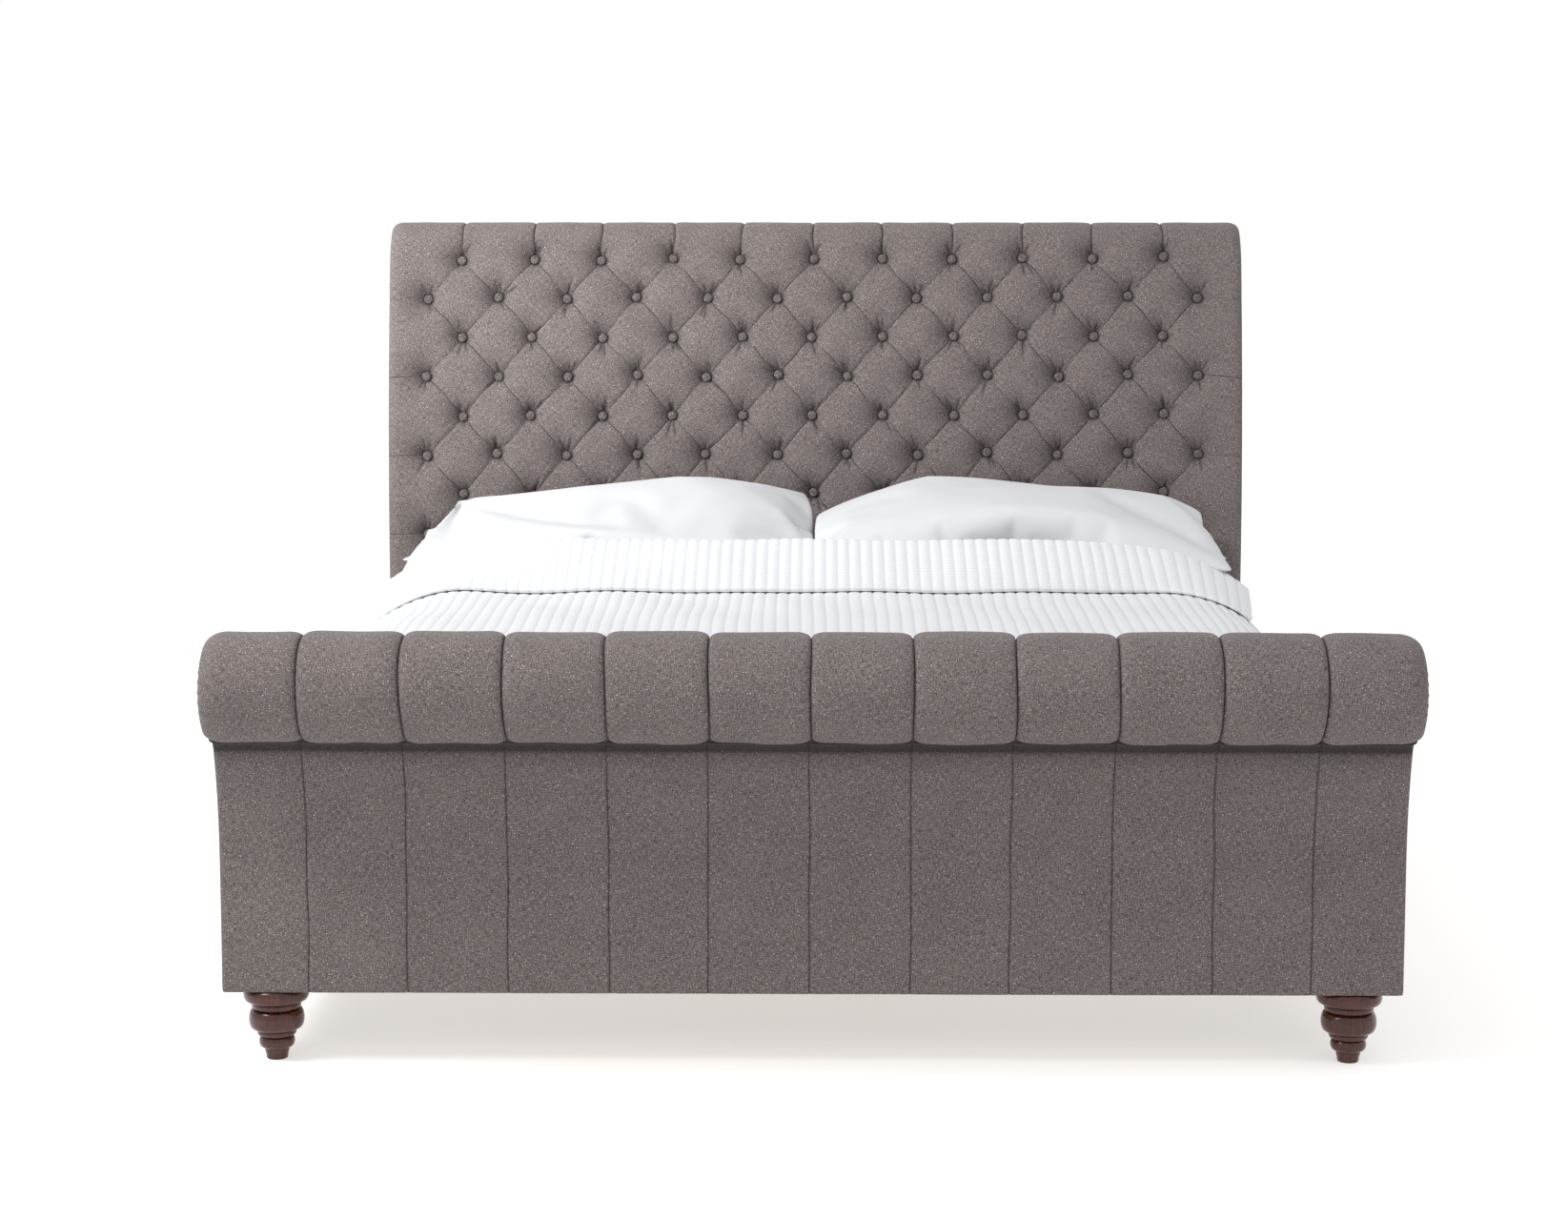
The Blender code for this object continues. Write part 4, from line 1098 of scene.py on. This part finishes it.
def piping(name, ring, radius, offset, fabric):
    """A thin fabric covered cord that follows a closed ring."""
    following, before = np.roll(ring, -1, axis=0), np.roll(ring, 1, axis=0)
    forward = following - before
    forward /= np.linalg.norm(forward, axis=1)[:, None]
    outwards = np.stack([forward[:, 1], -forward[:, 0]], 1)
    rows = []
    for step in range(8):
        turn = 2 * math.pi * step / 8
        flat = ring + outwards * radius * math.cos(turn)
        rows.append(np.column_stack([flat, np.full(len(ring), radius * math.sin(turn))]))
    count = len(ring)
    faces = quads(8, count, closed=True)
    for index in range(count):
        after = (index + 1) % count
        faces.append([7 * count + index, 7 * count + after, after, index])
    make_piece(name, np.concatenate(rows) + np.array(offset), faces, fabric, "made_mattress")


# ---------------------------------------------------------------- coverlet

QUILT_PITCH = 0.0252             # between the lengthwise stitch lines
CROSS_PITCH = 0.0125             # between the finer lines across
COVERLET_HALF_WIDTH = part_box("coverlet")[1].x
SIDE_RUN = 0.17                  # how far the coverlet hangs straight down, below the soft edge
QUILT_PHASES = (0.0, 0.16, 0.5, 0.84)       # grid lines across a channel; 0 lies on its stitch line


class Drape:
    """Where the coverlet lies on the mattress, as a function of the distance c from the middle."""

    def __init__(self):
        half = COVERLET_HALF_WIDTH
        self.top = MATTRESS_HIGH.z + 0.0095         # the outer side of the quilt
        reach_x, reach_z = 0.235, 0.150             # how far its soft edge reaches in and down
        flat = half - reach_x
        turn = np.linspace(0, math.pi / 2, 60)
        x = np.concatenate([np.linspace(0, flat, 60)[:-1], flat + reach_x * np.sin(turn), [half, half]])
        z = np.concatenate([np.zeros(59), -reach_z * (1 - np.cos(turn)),
                            [-reach_z - 0.05, -reach_z - SIDE_RUN]])
        self.x, self.z = x, z
        self.c = run_lengths(np.column_stack([x, z]))
        self.reach = self.c[-1]

    def place(self, c):
        """(x, z) on the drape and the outward normal's (x, z)."""
        side = np.sign(c)
        away = np.abs(c)
        x, z = np.interp(away, self.c, self.x), np.interp(away, self.c, self.z)
        step = 0.004
        ahead = np.minimum(away + step, self.reach)
        behind = np.maximum(ahead - 2 * step, 0)
        run = np.interp(ahead, self.c, self.x) - np.interp(behind, self.c, self.x)
        fall = np.interp(ahead, self.c, self.z) - np.interp(behind, self.c, self.z)
        size = np.hypot(run, fall)
        return side * x, self.top + z, side * -fall / size, run / size


DRAPE = Drape()


def quilt_lines(reach, pitch, phases):
    """Grid lines for quilting: a few fixed phases in each channel, out to a reach on both sides."""
    count = int(reach / pitch)
    lines = [pitch * (index + phase) for index in range(-count, count) for phase in phases]
    return with_ends(sorted(lines), -reach, reach, 0.002)


def quilting(across, along, depth, cross_depth):
    """Height and painted stitch shade of the quilting: plump cells between stitch lines."""
    part = np.abs(np.sin(math.pi * across / QUILT_PITCH))
    cross = np.abs(np.sin(math.pi * along / CROSS_PITCH))
    height = depth * (part ** 0.45 - 1) + cross_depth * (cross ** 0.5 - 1) * (0.35 + 0.65 * part)
    return height, 0.45 * bell(part, 0.13) + 0.30 * bell(cross, 0.22)


def sheet_piece(name, top, bottom, cloth, shade, fabric):
    """A closed quilt from the grids of its top and its bottom, joined along their rim."""
    rows, columns = top.shape[:2]
    points = np.concatenate([top.reshape(-1, 3), bottom.reshape(-1, 3)])
    first = rows * columns
    faces = quads(rows, columns) + quads(rows, columns, first)
    index = np.arange(first).reshape(rows, columns)
    rim = np.concatenate([index[:, 0], index[-1, 1:], index[-2::-1, -1], index[0, -2:0:-1]]).tolist()
    for here, after in zip(rim, rim[1:] + rim[:1]):
        faces.append([here, after, first + after, first + here])
    return make_piece(name, points, faces, fabric, "made_mattress", ["coverlet"],
                      cloth=np.concatenate([cloth.reshape(-1, 2)] * 2),
                      shade=np.concatenate([shade.ravel()] * 2), sharp=75)


FOLD_FRONT_Y = 0.190             # front edge of the turned-back band
FOLD_BACK_Y = 0.470              # back of the fold
FOOT_Y = MATTRESS_LOW.y - 0.006  # the coverlet hangs down here, behind the footboard
FOOT_BEND, TUCK = 0.045, 0.13    # radius over the mattress's foot end, and length of the tuck below it
HEM_RADIUS = 0.012
BAND_HALF_WIDTH = 0.925


def quilt_distance(y):
    """Distance along the lower layer, from its tucked end, of a place on top of the mattress."""
    return TUCK + FOOT_BEND * math.pi / 2 + y - (FOOT_Y + FOOT_BEND)


def coverlet(fabric):
    """The quilt's lower layer: tucked down behind the footboard, along the mattress, to the fold."""
    c = quilt_lines(DRAPE.reach, QUILT_PITCH, QUILT_PHASES)
    lines = quilt_lines(quilt_distance(FOLD_BACK_Y - 0.03), CROSS_PITCH, (0.0, 0.5))
    c, t = np.meshgrid(c, lines[lines >= 0])
    x, z, normal_x, normal_z = DRAPE.place(c)
    turn = np.clip((t - TUCK) / FOOT_BEND, 0, math.pi / 2)
    y = FOOT_Y + FOOT_BEND * (1 - np.cos(turn)) + np.maximum(t - TUCK - FOOT_BEND * math.pi / 2, 0)
    drop = FOOT_BEND * (1 - np.sin(turn)) + np.maximum(TUCK - t, 0)
    z = z - drop * np.clip(normal_z * 1.6, 0, 1)
    wander = 0.004 * Ripple(31, 0.5)(c, t) * smoothstep(0.15, 0.4, t)
    soft = quilt_softness(c, t) * normal_z
    height, shade = quilting(c, t, 0.0028, 0.0018)

    def surface(lift, rise):
        """Points lifted along the normal, and by a rise of their own where they also go up."""
        return np.stack([x + normal_x * lift + wander * normal_z, y - np.cos(turn) * lift * normal_z,
                         z + normal_z * rise * np.sin(turn)], -1)

    thin = -0.0075                                             # the underside, below the outer side
    top, bottom = surface(height + soft, height + soft), surface(thin, soft + thin)
    piece = sheet_piece("coverlet_quilt", top, bottom, np.stack([c, t], -1), shade, fabric)


def quilt_softness(c, t):
    """The slow unevenness of the quilt as it lies, in metres along its normal."""
    return 0.0035 * Ripple(33, 0.33)(c, t) * smoothstep(0.2, 0.5, t)


def turned_back_band(fabric):
    """The top of the quilt turned back on itself: a soft loop at the back, then the band."""
    reach = float(np.interp(BAND_HALF_WIDTH, DRAPE.x, DRAPE.c))
    c = quilt_lines(reach, QUILT_PITCH, QUILT_PHASES)
    profile = band_profile()
    along = run_lengths(profile)
    t = with_ends(np.arange(0, along[-1], CROSS_PITCH / 4), 0, along[-1])
    y, h = np.interp(t, along, profile[:, 0]), np.interp(t, along, profile[:, 1])
    run, climb = np.gradient(y, t), np.gradient(h, t)
    size = np.hypot(run, climb)
    normal_y, normal_h = climb / size, -run / size
    grid_c, grid_t = np.meshgrid(c, t)
    x, z, normal_x, normal_z = DRAPE.place(grid_c)
    inwards = np.abs(grid_c) / reach
    rise = 1 - 0.45 * smoothstep(0.60, 1.0, inwards)
    rise = rise * (1 + 0.03 * Ripple(41, 0.45)(grid_c, grid_t))
    height, shade = quilting(grid_c, grid_t, 0.0028, 0.0020)
    hem = smoothstep(0, 0.02, along[-1] - grid_t)
    height = height * (0.45 + 0.55 * hem)
    sway = 0.004 * Ripple(43, 0.6)(grid_c, grid_t * 0.2)
    droop = 0.034 * smoothstep(0.72, 1.0, inwards)
    lower_t = quilt_distance(y[:, None] + 0 * grid_c)
    base = 0.0014 + quilt_softness(grid_c, lower_t) * normal_z

    def surface(lift):
        """Points of the band at a lift along its profile's normal."""
        up = base + (h[:, None] + normal_h[:, None] * lift) * rise
        outer_y = y[:, None] + normal_y[:, None] * lift + sway - droop
        return np.stack([x + normal_x * up, outer_y, z + normal_z * up], -1)

    top, bottom = surface(height), surface(np.full_like(height, -0.0085))
    piece = sheet_piece("coverlet_turned_back", top, bottom, np.stack([grid_c, grid_t], -1), shade, fabric)


def band_profile():
    """(y, height) of the band's outer side: from under the fold, round its loop, to the front hem."""
    radius, base = 0.043, 0.002
    points = [(FOLD_BACK_Y - 0.10, base)]
    points += arc((FOLD_BACK_Y - radius, base + radius), (radius, radius), -90, 65.1, 11)
    back_y, back_h = points[-1]
    front_y, front_h = FOLD_FRONT_Y + HEM_RADIUS, HEM_RADIUS + 0.0005
    for part in np.linspace(0, 1, 22)[1:]:
        sag = 0.006 * math.sin(math.pi * part ** 0.7)
        points.append((back_y + (front_y - back_y) * part, back_h + (front_h - back_h) * part + sag))
    hem_centre = (front_y, front_h - HEM_RADIUS + 0.004)
    return np.array(points + arc(hem_centre, (HEM_RADIUS, HEM_RADIUS), 90, 202.5, 7)[1:])


# ---------------------------------------------------------------- pillows

def spine_point(spine, part):
    """Quadratic curve in the YZ plane through a pillow's middle, front to back."""
    a, b, c = (1 - part) ** 2, 2 * part * (1 - part), part ** 2
    return (a * spine[0][0] + b * spine[1][0] + c * spine[2][0],
            a * spine[0][1] + b * spine[1][1] + c * spine[2][1])


def sewn_case(spec, fabric):
    """Two rectangles of cloth sewn together along their rim and bent along the pillow's spine.

    It starts nearly flat and is filled afterwards."""
    length, width, spacing = spec["length"], spec["width"], 0.015
    u, v = np.meshgrid(np.linspace(-1, 1, round(length / spacing) + 1),
                       np.linspace(-1, 1, round(width / spacing) + 1))
    trial = np.linspace(-0.2, 1.2, 400)
    trial_y, trial_z = spine_point(spec["spine"], trial)
    run = np.concatenate([[0], np.cumsum(np.hypot(np.diff(trial_y), np.diff(trial_z)))])
    part = np.interp(np.interp(0.5, trial, run) + v * width / 2, run, trial)
    y, z = spine_point(spec["spine"], part)
    ahead_y, ahead_z = spine_point(spec["spine"], part + 0.01)
    size = np.hypot(ahead_y - y, ahead_z - z)
    outwards = u * spec["side"]
    behind = (v + 1) / 2
    narrower = (spec["taper"] * behind * np.clip(outwards, 0, 1)
                + 0.045 * np.abs(v) ** 3 * np.clip(-outwards, 0, 1))
    x = spec["x"] + u * length / 2 * (1 - narrower)
    outer_droop, inner_droop = spec["droop"]
    droop = outer_droop * np.clip((outwards - 0.52) / 0.48, 0, 1) ** 2.2
    droop = droop + inner_droop * np.clip((-outwards - 0.55) / 0.45, 0, 1) ** 1.5
    lying = MATTRESS_HIGH.z + 0.03
    z = np.maximum(z - droop * np.clip((z - lying - 0.02) / 0.14, 0, 1), lying)
    border = (np.abs(u) > 0.999) | (np.abs(v) > 0.999)
    puff = 0.003 + 0.010 * (1 - u ** 2) * (1 - v ** 2)
    puff = np.where(border, 0, puff)
    faces_of = [np.stack([x, y - face * (ahead_z - z) / size * puff,
                          z + face * (ahead_y - y) / size * puff], -1).reshape(-1, 3) for face in (1, -1)]
    border, count = border.ravel(), border.size
    upper = quads(*u.shape)
    lower = [[index if border[index] else index + count for index in face] for face in upper]
    keep = [index for index in range(2 * count) if index < count or not border[index - count]]
    renumber = {old: new for new, old in enumerate(keep)}
    faces = [[renumber[index] for index in face] for face in upper + lower]
    made = make_piece(spec["name"], np.concatenate(faces_of)[keep], faces, fabric, spec["body"],
                      [spec["node"]], sharp=180)
    return made


def collider(name, points, faces):
    """A temporary surface that the pillows land on."""
    mesh = bpy.data.meshes.new(name)
    mesh.from_pydata(points, [], faces)
    made = add_object(name, mesh)
    made.modifiers.new("collision", "COLLISION")
    made.collision.thickness_outer = 0.004
    made.collision.cloth_friction = 12
    return made


def fill(pillow, side, volume, frames, gravity):
    """Fill a case to a volume and let it settle, then keep the settled shape.

    It stays on its side of the bed, where it presses flat against the pillow of the other side."""
    modifier = pillow.modifiers.new("filling", "CLOTH")
    cloth = modifier.settings
    cloth.quality, cloth.mass, cloth.air_damping = 6, 0.25, 2.5
    cloth.tension_stiffness, cloth.compression_stiffness = 20, 12
    cloth.shear_stiffness, cloth.bending_stiffness = 8, 1.5
    cloth.tension_damping = cloth.compression_damping = 6
    cloth.shear_damping, cloth.bending_damping = 4, 0.6
    cloth.use_pressure = cloth.use_pressure_volume = True
    cloth.uniform_pressure_force, cloth.target_volume, cloth.pressure_factor = 0, volume, 12
    cloth.effector_weights.gravity = gravity
    contact = modifier.collision_settings
    contact.use_collision, contact.distance_min = True, 0.004
    contact.collision_quality, contact.friction = 3, 12
    modifier.point_cache.frame_start, modifier.point_cache.frame_end = 1, frames
    scene = bpy.context.scene
    for frame_number in range(1, frames + 1):
        scene.frame_set(frame_number)
    settled = bpy.data.meshes.new_from_object(pillow.evaluated_get(bpy.context.evaluated_depsgraph_get()))
    pillow.modifiers.remove(modifier)
    pillow.data = settled
    scene.frame_set(1)
    for vertex in settled.vertices:
        place = pillow.matrix_world @ vertex.co
        place.x = side * max(side * place.x, 0.0012)
        vertex.co = pillow.matrix_world.inverted() @ place


def press(pillows, crest):
    """Press a settled pair down, or plump it up, until its crest stands at a height over the mattress."""
    floor = MATTRESS_HIGH.z
    places = [[pillow.matrix_world @ vertex.co for vertex in pillow.data.vertices] for pillow in pillows]
    factor = crest / (max(place.z for place in places[-1]) - floor)
    for pillow, its_places in zip(pillows, places):
        back = pillow.matrix_world.inverted()
        for vertex, place in zip(pillow.data.vertices, its_places):
            if place.z > floor:
                place.z = floor + (place.z - floor) * factor
            vertex.co = back @ place


def coarse_copy(pillow):
    """A coarse copy of a settled pillow, in the model's frame, for the next one to lie on."""
    copy = add_object("coarse", pillow.data)
    copy.matrix_world = pillow.matrix_world
    copy.modifiers.new("coarse", "DECIMATE").ratio = 0.12
    mesh = bpy.data.meshes.new_from_object(copy.evaluated_get(bpy.context.evaluated_depsgraph_get()))
    points = [list(pillow.matrix_world @ vertex.co) for vertex in mesh.vertices]
    faces = [list(face.vertices) for face in mesh.polygons]
    bpy.data.objects.remove(copy, do_unlink=True)
    return collider("pillow_below", points, faces)


def pillows(fabric):
    """Two pillows on each side, one lying on the mattress and one leaning over it."""
    base, wall = MATTRESS_HIGH.z, HEADBOARD.face_y - 0.012
    grounds = []
    across = np.linspace(-1.0, 1.0, 61)
    rows = [(float(x), y, float(base - crown_drop(x))) for y in (-0.2, 1.2) for x in across]
    grounds.append(collider("mattress_top", rows, quads(2, 61)))
    wall_rows = [(x, y, z) for y, z in ((wall + 0.004, 0.3), (wall + 0.020, 0.9), (wall + 0.090, 1.25))
                 for x in (-1.1, 1.1)]
    grounds.append(collider("headboard_face", wall_rows, quads(3, 2)))
    lying = ((wall - 0.47, base + 0.06), (wall - 0.25, base + 0.06), (wall, base + 0.075))
    for side, hand, taper, droop, volume, middle_z, back_z, crest in (
            (-1, "left", 0.210, (0.035, 0.008), 0.02884, 0.1805, 0.1831, 0.191),
            (1, "right", 0.160, (0.010, 0.012), 0.02742, 0.1800, 0.1781, 0.192)):
        leaning = ((wall - 0.53, base + 0.045), (wall - 0.33, base + middle_z), (wall - 0.04, base + back_z))
        shared = {"side": side, "x": side * 0.464}
        under = sewn_case({**shared, "name": f"pillow_{hand}_under", "node": f"pillow_{hand}_back",
                           "body": f"{hand}_under_pillow", "length": 0.945, "width": 0.45,
                           "spine": lying, "taper": 0.0, "droop": (0, 0)}, fabric)
        top = sewn_case({**shared, "name": f"pillow_{hand}_top", "node": f"pillow_{hand}_front",
                         "body": f"{hand}_top_pillow", "length": 0.975, "width": 0.53,
                         "spine": leaning, "taper": taper, "droop": droop}, fabric)
        top.hide_viewport = True
        fill(under, side, volume=0.025, frames=26, gravity=0.06)
        top.hide_viewport = False
        grounds.append(coarse_copy(under))
        fill(top, side, volume, frames=34, gravity=0.088)
        bpy.data.objects.remove(grounds.pop(), do_unlink=True)
        press((under, top), crest)
        for pillow in (under, top):
            soften = pillow.modifiers.new("soften", "SUBSURF")
            soften.levels = soften.render_levels = 1
            pillow.data.shade_smooth()
    for ground in grounds:
        bpy.data.objects.remove(ground, do_unlink=True)


# ---------------------------------------------------------------- CAD nodes that stay

def finish_frame_nodes(materials):
    """Every CAD node whose shape stays gets its finish."""
    grain_of = {"slat": "across", "side_rail": "along", "ledger": "along", "centre_beam": "along",
                "centre_leg": "upright", "headboard_rib": "upright", "footboard_rib": "upright",
                "headboard_top": "across", "headboard_mid": "across", "headboard_bottom": "across",
                "footboard_top": "across", "footboard_bottom": "across", "headboard_board": "plywood",
                "rail_bracket": "steel", "beam_hanger": "steel"}
    for name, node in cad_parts.items():
        for start, finish in grain_of.items():
            if name.startswith(start) and not name.startswith("side_rail_cover"):
                node.data.materials.clear()
                node.data.materials.append(materials[finish])


# ---------------------------------------------------------------- studio

def area_light(name, place, target, size, power, colour=(1, 1, 1), spread=180):
    """A rectangular lamp that points from a place at a target; its spread is in degrees."""
    data = bpy.data.lights.new(name, "AREA")
    data.shape = "RECTANGLE"
    data.size, data.size_y = size
    data.energy = power
    data.color = colour
    data.spread = math.radians(spread)
    light = add_object(name, data)
    light.location = place
    light.rotation_euler = (Vector(target) - Vector(place)).to_track_quat("-Z", "Y").to_euler()


def studio():
    """A white surround, a pale floor, a key light from the front left and a small lamp on the tufting."""
    scene = bpy.context.scene
    scene.view_settings.view_transform = "Standard"
    world = bpy.data.worlds.new("studio")
    world.use_nodes = True
    background = world.node_tree.nodes["Background"]
    background.inputs["Color"].default_value = (1, 1, 1, 1)
    background.inputs["Strength"].default_value = 1.0
    scene.world = world
    mesh = bpy.data.meshes.new("floor")
    reach = 30
    corners = [(x, y, 0) for x, y in ((-reach, -reach), (reach, -reach), (reach, reach), (-reach, reach))]
    mesh.from_pydata(corners, [], [(0, 1, 2, 3)])
    floor = add_object("floor", mesh)
    floor.location.z = -0.0004                                 # clear of the feet that stand on it
    mesh.materials.append(floor_paint("studio_floor"))
    area_light("key", (-2.8, -2.0, 3.5), (0.1, 0.0, 0.7), (1.4, 1.4), 138, (1.0, 0.99, 0.98))
    area_light("headboard_light", (-2.9, -0.5, 2.0), (-0.35, 1.1, 1.15), (0.6, 0.6), 9.5, spread=50)


# ---------------------------------------------------------------- the whole bed

def main():
    """Make the camera, every finish, every piece and the studio."""
    make_camera()
    upholstery = linen("linen_upholstery")
    tufted = linen("linen_tufted", tufted=True)
    # The buttons' linen is a darker copy of the same linen: painted shade of the dimples they sit in
    buttons = linen("linen_buttons_painted_shade", tone=0.68)
    bronze = metal("aged_bronze", (0.020, 0.014, 0.010), (0.085, 0.060, 0.042), 0.38)
    black_steel = metal("black_steel", (0.030, 0.030, 0.033), (0.075, 0.075, 0.080), 0.45)
    white = cotton("white_percale")
    quilt = quilted_cotton("white_quilting")
    bedding = ticking("mattress_ticking")
    tufted_headboard(tufted, buttons)
    plain_panel("headboard_lower_fabric", HEADBOARD.path(("inner",), high=TUFTING_BOTTOM - PANEL_GAP),
                upholstery, "headboard_lower_panel", 51)
    plain_panel("headboard_back_fabric", HEADBOARD.path(("fillet", "neck", "outer")), upholstery,
                "headboard_back_panel", 52)
    plain_panel("footboard_inner_fabric", FOOTBOARD.path(("inner",), high=ROLL_PAD_BOTTOM - PANEL_GAP),
                upholstery, "footboard_inner_panel", 53)
    footboard_roll(upholstery)
    footboard_front(upholstery)
    for board in (HEADBOARD, FOOTBOARD):
        for side, hand in SIDES:
            facing(board, side, hand, upholstery, bronze)
    for side, hand in SIDES:
        rail_padding(side, hand, upholstery)
    bolts(black_steel)
    feet(mahogany("lacquered_mahogany"))
    levellers(black_steel)
    mattress(bedding)
    coverlet(quilt)
    turned_back_band(quilt)
    pillows(white)
    finish_frame_nodes({"across": timber("pine_across", 0), "along": timber("pine_along", 1),
                        "upright": timber("pine_upright", 2), "plywood": plywood("birch_plywood"),
                        "steel": black_steel})
    studio()


main()
